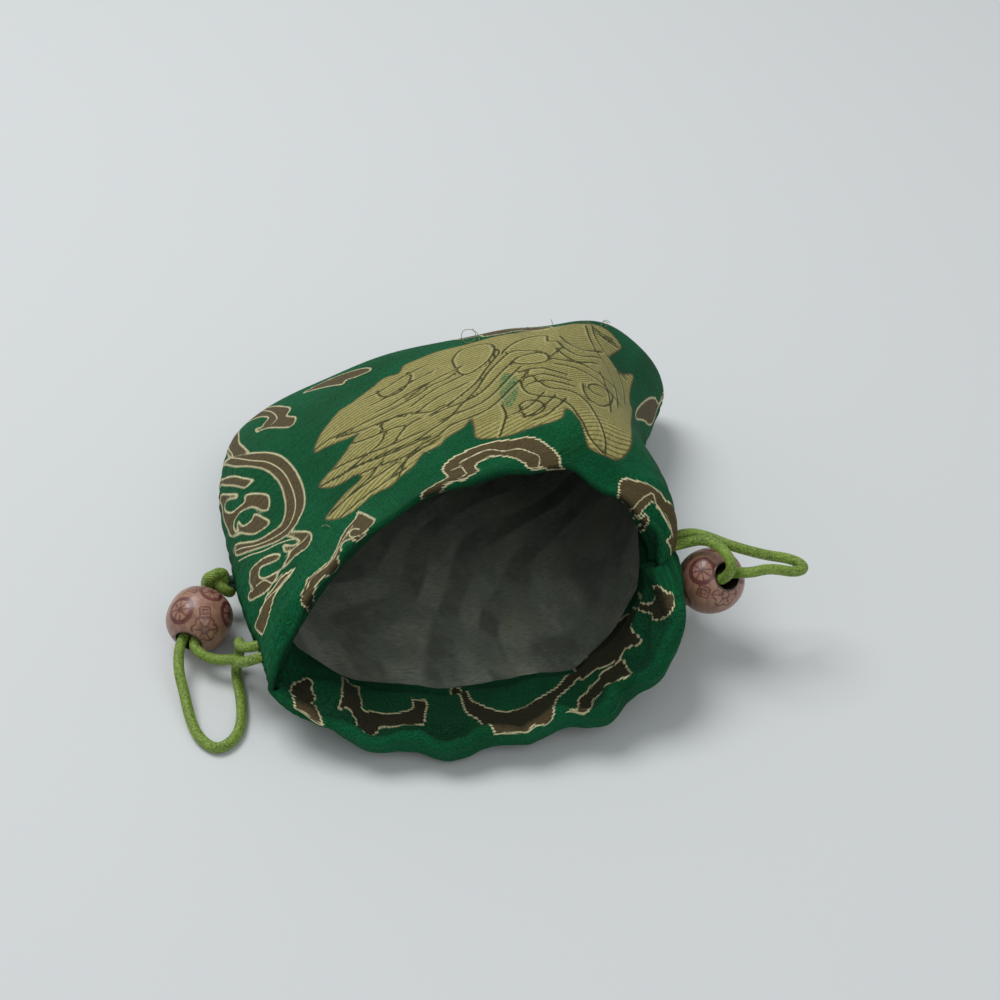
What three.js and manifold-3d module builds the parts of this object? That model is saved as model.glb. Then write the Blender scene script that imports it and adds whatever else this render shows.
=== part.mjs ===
// A small silk brocade drawstring pouch, lying on its back panel with its mouth open towards -Y.
// Millimetres, +Z up. The origin is on the flat underside, near the middle of the back panel.
// Each panel runs from t = 0 at the bottom seam to t = 1 at the rim of the mouth, and across
// from w = -1 at the left side seam to w = 1 at the right one.
import * as THREE from 'three';
import { mergeVertices } from 'three/addons/utils/BufferGeometryUtils.js';
import Module from 'manifold-3d';

// The pouch
const panelWidth = 110; // a panel from side seam to side seam
const panelLength = 110; // bottom seam to rim
const seamHeight = 25; // the higher side seam above the table, at the mouth
const crownRise = 32; // the front panel above the line between its seams
const bellyPress = 4; // how far the table flattens the round underside
const bottomRadius = 11; // rounding of the closed end
const bottomLift = 1.6; // inner faces end this many times their depth above the bottom seam
const brocadeWall = 1.2;
const liningWall = 1.0;
const pieceGap = 0.3; // between pieces that touch

// The hem, turned in round the rim, which is also the casing of the two drawstrings
const hemWidth = 15;
const casingRoom = 3.8; // between the hem's two layers
const foldRoom = 0.5; // the same at the rim and at the stitched edge
const slitWidth = 3; // opening in each side seam for the drawstrings
const slitFrom = 4; // from the rim to the slit's two ends
const slitTo = 13.5;

// Ruffles of the drawn rim
const gatherDepth = 1.2;
const gatherPitch = 20;
const gatherShift = 4; // from the panel's middle to the first crest
const gatherStart = 0.72; // t where the ruffles begin
const foldDepth = 2.6; // depth of the deepest fold of the table below

// The drawstrings and what is on them
const cordDiameter = 2.2;
const casingPlaces = { left: 6, right: 10.4 }; // each drawstring's distance from the rim
const exitPlaces = { short: 7.4, loop: 10.8 }; // where its two ends leave the side seam
const cordPitch = 2.7; // between the two strands inside a bead
const beadDiameter = 13.4;
const beadLength = 12;
const beadBore = 5.9;
const knotLength = 6;
const knotDiameter = 6.8;
const tailLength = 2.4; // of a knot's cut end

// Mesh fineness
const columnCount = 26;
const wallRows = [0, 0.025, 0.06, 0.115, 0.2, 0.32, 0.46, 0.6, 0.74, 0.88, 1]; // shares up to the hem
const hemRows = [1, 0.8, 0.6, 0.4, 0.2, 0]; // shares of the hem's width, from its stitched edge
const rollSteps = 4; // facets round the folded rim
const beadSides = 14;
const cordSides = 8;

// Sections, bottom seam to rim. X is a share of panelWidth, Y of panelLength, the seams' Z of
// seamHeight, crownZ of crownRise and bellyZ of bellyPress. Crown and belly reach from the line
// between the seams to the front and back panel. Peak is where across the panel they are
// highest, and the last two numbers of each are how full the panel is left and right of it.
const sectionColumns = [
  't', 'leftX', 'leftY', 'leftZ', 'rightX', 'rightY', 'rightZ',
  'crownX', 'crownY', 'crownZ', 'crownPeak', 'crownLeft', 'crownRight',
  'bellyX', 'bellyY', 'bellyZ', 'bellyPeak', 'bellyLeft', 'bellyRight',
];
const sections = [
  [0, -0.414, 0.418, 0.12, 0.423, 0.509, 0.28,
    0, 0, 0.22, 0.3, 0.6, 0.6, 0, 0, -0.1, 0, 0.6, 0.6],
  [0.08, -0.45, 0.373, 0.24, 0.45, 0.473, 0.4,
    0.01, 0.036, 0.42, 0.5, 0.6, 0.6, 0, 0.01, -0.3, 0, 0.6, 0.6],
  [0.2, -0.468, 0.264, 0.36, 0.441, 0.382, 0.54,
    0.018, 0.045, 0.72, 0.5, 0.58, 0.58, 0, 0.018, 0.12, 0, 0.6, 0.6],
  [0.4, -0.455, 0.073, 0.44, 0.391, 0.2, 0.56,
    0.036, 0.036, 0.94, 0.45, 0.6, 0.6, 0, 0.018, 0.75, 0, 0.6, 0.6],
  [0.6, -0.405, -0.127, 0.48, 0.386, 0.045, 0.68,
    0.045, 0.045, 1, 0.35, 0.62, 0.62, -0.01, 0, 1, 0, 0.6, 0.6],
  [0.8, -0.345, -0.318, 0.52, 0.416, -0.105, 0.9,
    0.055, 0.073, 0.97, 0.13, 0.6, 0.63, 0.027, -0.064, 0.62, 0.12, 0.6, 0.52],
  [0.9, -0.325, -0.391, 0.528, 0.421, -0.182, 0.972,
    0.05, 0.09, 0.94, 0.02, 0.55, 0.63, 0.064, -0.14, -0.12, 0.24, 0.6, 0.42],
  [0.95, -0.318, -0.416, 0.504, 0.409, -0.211, 1,
    0.045, 0.1, 0.93, -0.03, 0.52, 0.67, 0.082, -0.177, -0.5, 0.3, 0.62, 0.38],
  [1, -0.314, -0.436, 0.48, 0.394, -0.236, 1.02,
    0.04, 0.11, 0.92, -0.08, 0.48, 0.72, 0.086, -0.173, -1.75, 0.34, 0.64, 0.36],
];
const crownExponent = 2.2;
const bellyExponent = 2.4;

// Soft folds. Across is a share of panelWidth, along of panelLength, depth of foldDepth;
// a negative depth is a dent.
const folds = [
  { panel: 'front', u: 0.86, t: 0.3, across: 0.16, along: 0.34, depth: -0.7 },
  { panel: 'front', u: 0.7, t: 0.9, across: 0.16, along: 0.16, depth: -0.55 },
  { panel: 'front', u: -0.72, t: 0.86, across: 0.14, along: 0.3, depth: -0.45 },
  { panel: 'front', u: -0.1, t: 0.88, across: 0.3, along: 0.1, depth: -0.35 },
  { panel: 'front', u: 0.25, t: 0.35, across: 0.12, along: 0.5, depth: 0.35 },
  { panel: 'back', u: -0.85, t: 0.93, across: 0.13, along: 0.16, depth: -0.8 },
  { panel: 'back', u: 0.88, t: 0.93, across: 0.13, along: 0.16, depth: -0.8 },
];

// Each strand's way from the side seam to its bead, chosen by hand. X and Y are counted from
// where the strand leaves the seam, and Z from the table.
const strandPoints = {
  left_short_strand: [
    [-2.8, -1, 12.8], [-4, 1.5, 10.6], [-4.7, 4.9, 7.6], [-7.2, 7.3, 5.6], [-10.2, 7.6, 4.8],
  ],
  left_loop_strand: [
    [-2.4, -0.2, 12.7], [-3.8, 2.4, 11.4], [-4.3, 5.4, 9], [-4.5, 7, 5.9], [-5.3, 6.8, 3],
    [-5.6, 4.4, 1.5], [-4.4, -0.3, 1.2], [-3.1, -7.3, 1.2], [-3.5, -13.2, 1.2], [-6.7, -16.7, 1.2],
    [-10.7, -13.7, 1.2], [-13.3, -8.4, 1.6], [-15.1, -2.6, 3], [-16.5, 1.4, 4.2],
  ],
  right_short_strand: [
    [2.7, 0, 25.2], [5.7, -1.1, 26.8], [8.7, -4.3, 27.4], [10.9, -7.7, 25.8],
  ],
  right_loop_strand: [
    [2.9, 0.5, 24.3], [6.4, -0.7, 24.5], [10.3, -2.9, 24.2], [14.7, -3.7, 23.2], [19.2, -4.3, 22],
    [23.5, -4.4, 21], [25.2, -5, 20.2], [23.3, -6.3, 20.2], [20.1, -7.5, 21.6], [16.9, -9.5, 23.2],
    [14.7, -11.3, 24],
  ],
};

// Each bead's middle, counted as the strands are, and the way its open hole points.
const beadPlaces = {
  left: { middle: [-14.6, 17.7, 6.85], hole: [-0.28, -0.946, -0.147] },
  right: { middle: [7.5, -2.4, 16.8], hole: [0.45, -0.54, 0.705] },
};

const materials = {
  brocade: new THREE.MeshStandardMaterial({ color: 0x0b6b45, roughness: 0.55, metalness: 0 }),
  lining: new THREE.MeshStandardMaterial({ color: 0x5c6a62, roughness: 0.95, metalness: 0 }),
  cord: new THREE.MeshStandardMaterial({ color: 0x6f9432, roughness: 0.5, metalness: 0 }),
  bead: new THREE.MeshStandardMaterial({ color: 0xc89a84, roughness: 0.45, metalness: 0 }),
};

const purse = new THREE.Group();
purse.name = 'embroidered_purse';
const wasm = await Module();
wasm.setup();

function addMesh(name, geometry, material) {
  const mesh = new THREE.Mesh(geometry, material);
  mesh.name = name;
  purse.add(mesh);
  return mesh;
}

// One column of the section table at t, as a smooth curve through its rows
function tableValue(name, t) {
  const column = sectionColumns.indexOf(name);
  const last = sections.length - 1;
  const slope = (row) => {
    const before = Math.max(row - 1, 0);
    const after = Math.min(row + 1, last);
    return (sections[after][column] - sections[before][column])
      / (sections[after][0] - sections[before][0]);
  };
  let row = 0;
  while (row < last - 1 && t >= sections[row + 1][0]) row += 1;
  const span = sections[row + 1][0] - sections[row][0];
  const s = (t - sections[row][0]) / span;
  return (1 + 2 * s) * (1 - s) ** 2 * sections[row][column]
    + s * (1 - s) ** 2 * span * slope(row)
    + s * s * (3 - 2 * s) * sections[row + 1][column]
    + s * s * (s - 1) * span * slope(row + 1);
}

function seamPoint(side, t) {
  return new THREE.Vector3(
    tableValue(`${side}X`, t) * panelWidth,
    tableValue(`${side}Y`, t) * panelLength,
    tableValue(`${side}Z`, t) * seamHeight,
  );
}

// From the line between the seams to the panel's highest or lowest line
function bulge(panel, t) {
  if (panel === 'front') {
    return new THREE.Vector3(
      tableValue('crownX', t) * panelWidth,
      tableValue('crownY', t) * panelLength,
      tableValue('crownZ', t) * crownRise,
    );
  }
  const lineHeight = (seamPoint('left', t).z + seamPoint('right', t).z) / 2;
  return new THREE.Vector3(
    tableValue('bellyX', t) * panelWidth,
    tableValue('bellyY', t) * panelLength,
    -lineHeight - tableValue('bellyZ', t) * bellyPress,
  );
}

function fullness(panel, w, t) {
  const half = w < 0 ? 'Left' : 'Right';
  return tableValue((panel === 'front' ? 'crown' : 'belly') + half, t);
}

// How far ruffles and folds push a panel out at a point u across and t along
function ruffle(panel, u, w, t) {
  const fade = THREE.MathUtils.clamp((t - gatherStart) / (1 - gatherStart), 0, 1) ** 2;
  const across = u * panelWidth / 2 - gatherShift;
  const wave = Math.cos(2 * Math.PI * across / gatherPitch) * (1 - w ** 4);
  let push = gatherDepth * fade * wave;
  for (const fold of folds) {
    if (fold.panel === panel) {
      const x = (u - fold.u) / (2 * fold.across);
      const y = (t - fold.t) / fold.along;
      push += fold.depth * foldDepth * Math.exp(-4 * (x * x + y * y)) * (1 - w ** 6);
    }
  }
  return push;
}

// A panel's highest or lowest point at t
function crest(panel, t) {
  const peak = tableValue(panel === 'front' ? 'crownPeak' : 'bellyPeak', t);
  return seamPoint('left', t).lerp(seamPoint('right', t), (peak + 1) / 2).add(bulge(panel, t));
}

// A section leans against the cloth that it crosses, so a step straight in through the wall, at
// the crest or at a side seam, is longer when it is measured in the section
const slants = new Map();
function slant(panel, line, place) {
  const t = line === 'crest' ? Math.max(place, bottomRadius / panelLength) : place;
  const key = `${panel} ${line} ${t.toFixed(4)}`;
  if (!slants.has(key)) {
    const step = 0.01;
    const at = (t0) => (line === 'crest' ? crest(panel, t0) : seamPoint(line, t0));
    const chord = seamPoint('right', t).sub(seamPoint('left', t)).normalize();
    const outward = bulge(panel, t).normalize();
    const [inward, sideways] = line === 'crest' ? [outward, chord] : [chord, outward];
    const along = at(t).sub(at(t - step));
    along.addScaledVector(sideways, -along.dot(sideways)).normalize();
    slants.set(key, 1 / Math.sqrt(1 - along.dot(inward) ** 2));
  }
  return slants.get(key);
}

// Square to the cloth where the two panels meet, towards the front
function apart(t) {
  const step = 0.01;
  const along = seamPoint('left', t).add(seamPoint('right', t));
  along.sub(seamPoint('left', t - step)).sub(seamPoint('right', t - step));
  return along.cross(seamPoint('right', t).sub(seamPoint('left', t))).normalize();
}

// A point of a panel's cloth, depth millimetres in from its outer face
function clothPoint(panel, w, t, depth) {
  const left = seamPoint('left', t);
  const right = seamPoint('right', t);
  const chord = right.clone().sub(left).normalize();
  // The inner faces draw in further at the bottom corners, where the pouch is flat
  const corner = Math.max(1 - t * panelLength / (2 * bottomRadius), 0);
  left.addScaledVector(chord, depth * (slant(panel, 'left', t) + corner));
  right.addScaledVector(chord, -depth * (slant(panel, 'right', t) + corner));
  const reach = bulge(panel, t);
  const outward = reach.clone().normalize();
  const closing = THREE.MathUtils.clamp((t * panelLength - depth * bottomLift) / bottomRadius, 0, 1);
  const rounding = Math.sqrt(1 - (1 - closing) ** 2.2);
  const exponent = panel === 'front' ? crownExponent : bellyExponent;
  const arch = Math.max(1 - Math.abs(w) ** exponent, 0) ** fullness(panel, w, t);
  const peak = tableValue(panel === 'front' ? 'crownPeak' : 'bellyPeak', t);
  const u = w < 0 ? peak + w * (1 + peak) : peak + w * (1 - peak);
  const point = left.lerp(right, (u + 1) / 2);
  const inset = depth * slant(panel, 'crest', t);
  point.addScaledVector(outward, (reach.length() - inset) * rounding * arch);
  point.addScaledVector(apart(t), panel === 'front' ? pieceGap / 2 : -pieceGap / 2);
  const push = ruffle(panel, u, w, t);
  point.addScaledVector(outward, push * Math.sqrt(Math.max(1 - w * w, 0)));
  point.addScaledVector(chord, push * w);
  if (panel === 'back') point.z = Math.max(point.z, depth);
  return point;
}

// t at a distance from the rim, measured on the cloth's outer face and square to the rim
const rimLengths = new Map();
function fromRim(panel, distance, w) {
  const step = 0.02;
  const key = `${panel} ${w.toFixed(5)}`;
  if (!rimLengths.has(key)) {
    const lengths = [0];
    const rimLine = clothPoint(panel, Math.min(w + step, 1), 1, 0);
    rimLine.sub(clothPoint(panel, Math.max(w - step, -1), 1, 0)).normalize();
    let point = clothPoint(panel, w, 1, 0);
    while (lengths[lengths.length - 1] < hemWidth) {
      const next = clothPoint(panel, w, 1 - lengths.length * step, 0);
      const advance = next.clone().sub(point);
      advance.addScaledVector(rimLine, -advance.dot(rimLine));
      lengths.push(lengths[lengths.length - 1] + advance.length());
      point = next;
    }
    rimLengths.set(key, lengths);
  }
  const lengths = rimLengths.get(key);
  const above = lengths.findIndex((length) => length >= distance);
  if (above === 0) return 1;
  const share = (distance - lengths[above - 1]) / (lengths[above] - lengths[above - 1]);
  return 1 - (above - 1 + share) * step;
}

// w where the cloth is a given height clear of the side seam's plane
function clearOfSeam(panel, side, t, height) {
  if (height <= 0) return side;
  const power = fullness(panel, side, t);
  const exponent = panel === 'front' ? crownExponent : bellyExponent;
  return side * (1 - (height / bulge(panel, t).length()) ** (1 / power)) ** (1 / exponent);
}

// w of a column, closer together towards the side seams, where the cloth turns most
function columnPlace(panel, column, distance) {
  const s = 2 * column / columnCount - 1;
  const inSlit = distance > slitFrom && distance < slitTo;
  const side = s < 0 ? -1 : 1;
  const t = fromRim(panel, distance, side);
  const edge = inSlit ? clearOfSeam(panel, side, t, slitWidth / 2) : side;
  return (0.45 * Math.sin(Math.PI / 2 * Math.abs(s)) + 0.55 * Math.abs(s)) * edge;
}

// The room between the hem's layers at a distance from the rim
function hemRoom(distance) {
  const share = THREE.MathUtils.clamp(distance / hemWidth, 0, 1);
  return foldRoom + (casingRoom - foldRoom) * Math.max(Math.sin(Math.PI * share), 0) ** 0.35;
}

// A closed solid from stations, each a row of outer and a row of inner points
function clothSolid(stations) {
  const rows = stations.length;
  const columns = stations[0].outer.length;
  const positions = [];
  const faces = [];
  for (const layer of ['outer', 'inner']) {
    for (const station of stations) {
      for (const point of station[layer]) positions.push(point.x, point.y, point.z);
    }
  }
  const at = (layer, row, column) => (layer * rows + row) * columns + column;
  const quad = (a, b, c, d) => faces.push(a, b, c, a, c, d);
  for (let row = 0; row < rows - 1; row += 1) {
    for (let column = 0; column < columns - 1; column += 1) {
      // Both faces have their quads split along the same diagonal, so that the wall stays even,
      // and away from the nearer bottom corner
      for (const layer of [0, 1]) {
        const ring = [at(layer, row, column), at(layer, row, column + 1),
          at(layer, row + 1, column + 1), at(layer, row + 1, column)];
        if (column >= columns / 2 - 1) ring.push(ring.shift());
        if (layer === 1) ring.reverse();
        if (layer === 1) ring.unshift(ring.pop());
        quad(...ring);
      }
    }
    const end = columns - 1;
    quad(at(0, row, 0), at(0, row + 1, 0), at(1, row + 1, 0), at(1, row, 0));
    quad(at(0, row + 1, end), at(0, row, end), at(1, row, end), at(1, row + 1, end));
  }
  for (let column = 0; column < columns - 1; column += 1) {
    const end = rows - 1;
    quad(at(0, 0, column + 1), at(0, 0, column), at(1, 0, column), at(1, 0, column + 1));
    quad(at(0, end, column), at(0, end, column + 1), at(1, end, column + 1), at(1, end, column));
  }
  if (signedVolume(positions, faces) < 0) faces.reverse();
  const geometry = new THREE.BufferGeometry();
  geometry.setAttribute('position', new THREE.Float32BufferAttribute(positions, 3));
  geometry.setIndex(faces);
  geometry.computeVertexNormals();
  return geometry;
}

function signedVolume(positions, faces) {
  let volume = 0;
  const corner = (index) => new THREE.Vector3().fromArray(positions, 3 * index);
  for (let i = 0; i < faces.length; i += 3) {
    volume += corner(faces[i]).dot(corner(faces[i + 1]).cross(corner(faces[i + 2])));
  }
  return volume;
}

// The wall's rows start a little higher on inner faces, so that the bottom seam closes round
function wallT(panel, share, w, depth) {
  const t = share * fromRim(panel, hemWidth, w);
  const lift = depth * bottomLift / panelLength;
  const nearBottom = Math.max(1 - t / (3 * bottomRadius / panelLength), 0);
  return t + lift * nearBottom * nearBottom;
}

function wallStation(panel, share, outerDepth, innerDepth) {
  const station = { outer: [], inner: [] };
  for (let column = 0; column <= columnCount; column += 1) {
    const w = columnPlace(panel, column, hemWidth);
    station.outer.push(clothPoint(panel, w, wallT(panel, share, w, outerDepth), outerDepth));
    station.inner.push(clothPoint(panel, w, wallT(panel, share, w, innerDepth), innerDepth));
  }
  return station;
}

// A station of the hem zone, of the wall itself or of the layer turned in behind it
function hemStation(panel, distance, turnedIn) {
  const station = { outer: [], inner: [] };
  const inner = brocadeWall + hemRoom(distance);
  for (let column = 0; column <= columnCount; column += 1) {
    const w = columnPlace(panel, column, distance);
    const t = fromRim(panel, distance, w);
    station.outer.push(clothPoint(panel, w, t, turnedIn ? inner + brocadeWall : 0));
    station.inner.push(clothPoint(panel, w, t, turnedIn ? inner : brocadeWall));
  }
  return station;
}

// The rim, where the cloth rolls over through half a turn
function rollStation(panel, step) {
  const station = { outer: [], inner: [] };
  const thickness = 2 * brocadeWall + foldRoom;
  const angle = Math.PI * step / rollSteps;
  for (let column = 0; column <= columnCount; column += 1) {
    const w = columnPlace(panel, column, 0);
    const outer = clothPoint(panel, w, 1, 0);
    const inner = clothPoint(panel, w, 1, thickness);
    const middle = outer.clone().lerp(inner, 0.5);
    const out = outer.clone().sub(inner).normalize();
    const beyond = clothPoint(panel, w, 1, thickness / 2)
      .sub(clothPoint(panel, w, fromRim(panel, thickness, w), thickness / 2));
    beyond.addScaledVector(out, -beyond.dot(out)).normalize();
    for (const [layer, radius] of [['outer', thickness / 2], ['inner', foldRoom / 2]]) {
      const point = middle.clone().addScaledVector(out, radius * Math.cos(angle));
      station[layer].push(point.addScaledVector(beyond, radius * Math.sin(angle)));
    }
  }
  return station;
}

function brocadePanel(panel) {
  const stations = [];
  for (const share of wallRows.slice(0, -1)) {
    stations.push(wallStation(panel, share, 0, brocadeWall));
  }
  for (const share of hemRows) stations.push(hemStation(panel, share * hemWidth, false));
  for (let step = 1; step < rollSteps; step += 1) stations.push(rollStation(panel, step));
  for (const share of [...hemRows].reverse()) {
    stations.push(hemStation(panel, share * hemWidth, true));
  }
  return clothSolid(stations);
}

function liningPanel(panel) {
  const outerDepth = brocadeWall + pieceGap;
  const topShare = 1 - 2 * pieceGap / (panelLength - hemWidth);
  const shares = [...wallRows.slice(0, -1), topShare];
  return clothSolid(shares.map((share) => (
    wallStation(panel, share, outerDepth, outerDepth + liningWall))));
}

addMesh('front_panel', brocadePanel('front'), materials.brocade);
addMesh('back_panel', brocadePanel('back'), materials.brocade);
addMesh('front_lining', liningPanel('front'), materials.lining);
addMesh('back_lining', liningPanel('back'), materials.lining);

// A round cord along a smooth curve through its points, with a step every two diameters or, for
// a cord that keeps to the cloth's facets, at each point
function cordGeometry(points, stepAtPoints = false) {
  const section = [];
  for (let corner = 0; corner < cordSides; corner += 1) {
    const angle = 2 * Math.PI * corner / cordSides;
    section.push(new THREE.Vector2(Math.cos(angle), Math.sin(angle)).multiplyScalar(cordDiameter / 2));
  }
  const path = new THREE.CatmullRomCurve3(points, false, 'centripetal');
  if (stepAtPoints) path.getUtoTmapping = (share) => share;
  return new THREE.ExtrudeGeometry(new THREE.Shape(section), {
    steps: stepAtPoints ? points.length - 1 : Math.ceil(path.getLength() / (2 * cordDiameter)),
    extrudePath: path,
    bevelEnabled: false,
  });
}

// The stretch of a drawstring inside the casing: along the front hem, round through the slit of
// the other side seam and back along the back hem. Side is where its ends come out.
function casingCord(side) {
  const place = casingPlaces[side];
  const sign = side === 'left' ? -1 : 1;
  const depth = brocadeWall + hemRoom(place) / 2;
  const endHeight = cordDiameter / 2 + 2 * pieceGap;
  const points = [];
  for (const panel of ['front', 'back']) {
    const row = [];
    const end = clearOfSeam(panel, sign, fromRim(panel, place, sign), endHeight);
    for (let column = 0; column <= columnCount; column += 1) {
      const w = columnPlace(panel, column, place);
      if (w * sign < Math.abs(end)) row.push(clothPoint(panel, w, fromRim(panel, place, w), depth));
    }
    if (sign > 0) row.reverse();
    row.unshift(clothPoint(panel, end, fromRim(panel, place, end), depth));
    points.push(row);
  }
  return cordGeometry([...points[0], ...points[1].reverse()], true);
}

addMesh('casing_cord_left', casingCord('left'), materials.cord);
addMesh('casing_cord_right', casingCord('right'), materials.cord);

// Where a strand leaves the slit of a side seam, and the way straight out of it
function strandExit(side, strand) {
  const t = fromRim('front', exitPlaces[strand], side === 'left' ? -1 : 1);
  const out = seamPoint(side, t).sub(seamPoint(side === 'left' ? 'right' : 'left', t)).normalize();
  return { place: seamPoint(side, t), out };
}

function beadPlace(side) {
  const exit = strandExit(side, 'short').place;
  const { middle, hole } = beadPlaces[side];
  const centre = new THREE.Vector3(exit.x + middle[0], exit.y + middle[1], middle[2]);
  return { centre, axis: new THREE.Vector3(...hole).normalize() };
}

// From the slit along the chosen points, through the bead beside the other strand, to the knot
function strand(side, kind) {
  const exit = strandExit(side, kind);
  const { centre, axis } = beadPlace(side);
  const acrossHole = new THREE.Vector3(0, 0, 1).cross(axis).normalize();
  const outer = Math.sign(acrossHole.dot(exit.out)) * (kind === 'loop' ? 1 : -1);
  acrossHole.multiplyScalar(outer * cordPitch / 2);
  const along = (distance) => centre.clone().addScaledVector(axis, distance).add(acrossHole);
  const points = [-brocadeWall, cordDiameter / 2].map((distance) => (
    exit.place.clone().addScaledVector(exit.out, distance)));
  for (const [x, y, z] of strandPoints[`${side}_${kind}_strand`]) {
    points.push(new THREE.Vector3(exit.place.x + x, exit.place.y + y, z));
  }
  points.push(along(beadLength / 2 + cordDiameter / 2));
  points.push(along(beadLength / 4), along(-beadLength / 4), along(-beadLength / 2 - pieceGap));
  return cordGeometry(points);
}

// A turned round bead with flat faces about its bore
function bead(side) {
  const radius = beadDiameter / 2;
  const profile = [];
  const profileSteps = 8;
  for (let step = 0; step <= profileSteps; step += 1) {
    const y = beadLength * (step / profileSteps - 0.5);
    const share = Math.abs(y) / (beadLength / 2 + pieceGap);
    profile.push(new THREE.Vector2(radius * (1 - share ** 2.4) ** (1 / 2.4), y));
  }
  profile.unshift(new THREE.Vector2(beadBore / 2, -beadLength / 2));
  profile.push(new THREE.Vector2(beadBore / 2, beadLength / 2));
  profile.push(profile[0].clone());
  const mesh = addMesh(`bead_${side}`, new THREE.LatheGeometry(profile, beadSides), materials.bead);
  const { centre, axis } = beadPlace(side);
  mesh.position.copy(centre);
  mesh.quaternion.setFromUnitVectors(new THREE.Vector3(0, 1, 0), axis);
}

function toSolid(geometry) {
  geometry.deleteAttribute('normal');
  geometry.deleteAttribute('uv');
  const merged = mergeVertices(geometry);
  return new wasm.Manifold(new wasm.Mesh({
    numProp: 3,
    vertProperties: new Float32Array(merged.attributes.position.array),
    triVerts: new Uint32Array(merged.index.array),
  }));
}

function toGeometry(solid) {
  const mesh = solid.getMesh();
  const geometry = new THREE.BufferGeometry();
  geometry.setAttribute('position', new THREE.BufferAttribute(new Float32Array(mesh.vertProperties), 3));
  geometry.setIndex(new THREE.BufferAttribute(new Uint32Array(mesh.triVerts), 1));
  geometry.computeVertexNormals();
  return geometry;
}

// The tight knot behind a bead, with the two cut ends of the drawstring
function knot(side) {
  const { centre, axis } = beadPlace(side);
  const middle = centre.clone().addScaledVector(axis, -(beadLength + knotLength) / 2 - 2 * pieceGap);
  const ball = new THREE.SphereGeometry(knotDiameter / 2, 12, 8);
  ball.scale(1, knotLength / knotDiameter, 1);
  ball.applyQuaternion(new THREE.Quaternion().setFromUnitVectors(new THREE.Vector3(0, 1, 0), axis));
  ball.translate(middle.x, middle.y, middle.z);
  let solid = toSolid(ball);
  const away = new THREE.Vector3(0, 0, 1).cross(axis).normalize();
  away.multiplyScalar(Math.sign(away.dot(strandExit(side, 'short').out)));
  for (const lean of [0.1, 0.9]) {
    const direction = axis.clone().negate().addScaledVector(away, lean);
    direction.z += 0.6;
    direction.normalize();
    const end = middle.clone().addScaledVector(direction, knotDiameter / 2 + tailLength);
    solid = solid.add(toSolid(cordGeometry([middle, middle.clone().lerp(end, 0.5), end])));
  }
  addMesh(`knot_${side}`, toGeometry(solid), materials.cord);
}

for (const side of ['left', 'right']) {
  addMesh(`${side}_short_strand`, strand(side, 'short'), materials.cord);
  addMesh(`${side}_loop_strand`, strand(side, 'loop'), materials.cord);
  bead(side);
  knot(side);
}

export default purse;
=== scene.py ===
import math
import bpy
import numpy as np
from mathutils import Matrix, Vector


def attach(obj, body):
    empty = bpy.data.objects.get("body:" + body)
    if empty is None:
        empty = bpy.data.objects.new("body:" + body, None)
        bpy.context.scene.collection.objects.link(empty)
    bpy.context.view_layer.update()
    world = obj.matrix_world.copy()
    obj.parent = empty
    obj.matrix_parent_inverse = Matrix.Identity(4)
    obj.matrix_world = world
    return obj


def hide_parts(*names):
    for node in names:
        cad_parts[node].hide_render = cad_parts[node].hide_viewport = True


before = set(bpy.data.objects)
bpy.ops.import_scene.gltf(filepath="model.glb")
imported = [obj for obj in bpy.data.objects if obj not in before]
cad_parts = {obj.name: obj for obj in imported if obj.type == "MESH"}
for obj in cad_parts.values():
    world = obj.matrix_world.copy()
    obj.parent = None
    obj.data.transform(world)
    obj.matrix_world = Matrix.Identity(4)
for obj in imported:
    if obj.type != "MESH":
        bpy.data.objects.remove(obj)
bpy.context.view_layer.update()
rng = np.random.default_rng(11)

# Camera first: the pouch is seen from the front, 40 degrees up
camera = bpy.data.objects.new("camera", bpy.data.cameras.new("camera"))
camera.location = (0.011, -0.2949, 0.2675)
camera.rotation_euler = (math.radians(50), 0, 0)
camera.data.lens = 65.52
camera.data.sensor_width = 36
camera.data.clip_start = 0.01
bpy.context.scene.collection.objects.link(camera)
bpy.context.scene.camera = camera
viewTarget = np.array((0.011, 0, 0.02))
focalPixels = 1820


def toImage(points):
    # metres to pixels of the camera's picture
    eye = np.array(camera.location)
    across = np.array((1, 0, 0))
    ahead = (viewTarget - eye) / np.linalg.norm(viewTarget - eye)
    up = np.cross(across, ahead)
    rel = points - eye
    depth = rel @ ahead
    return np.stack([500 + focalPixels * (rel @ across) / depth,
                     500 - focalPixels * (rel @ up) / depth], -1)


# Sizes of the pouch, as the part has them
pouch = {
    "width": 0.11, "length": 0.11, "seamHeight": 0.025, "crownRise": 0.032,
    "bellyPress": 0.004, "bottomRadius": 0.011, "bottomLift": 1.6,
    "wall": 0.0012, "lining": 0.001, "gap": 0.0003, "seamGap": 0.00004,
    "hem": 0.015, "casingRoom": 0.0038, "foldRoom": 0.0005,
    "foldThick": {"front": 0.0014, "back": 0.0026},
    "slitWidth": 0.0016, "slitFrom": 0.004, "slitTo": 0.0135,
    "frontHemDepth": 0.0052, "hemDrop": 0.0009, "hemDropFrom": 0.009, "hemDropOver": 0.003,
    "foldOpens": 0.006, "liningUnderHem": 0.0025,
    "gatherPitch": 0.020, "gatherShift": 0.004, "gatherStart": 0.72,
    "foldDepth": 0.0026,
}
sectionColumns = (
    "t leftX leftY leftZ rightX rightY rightZ crownX crownY crownZ crownPeak crownLeft "
    "crownRight bellyX bellyY bellyZ bellyPeak bellyLeft bellyRight").split()
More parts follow.
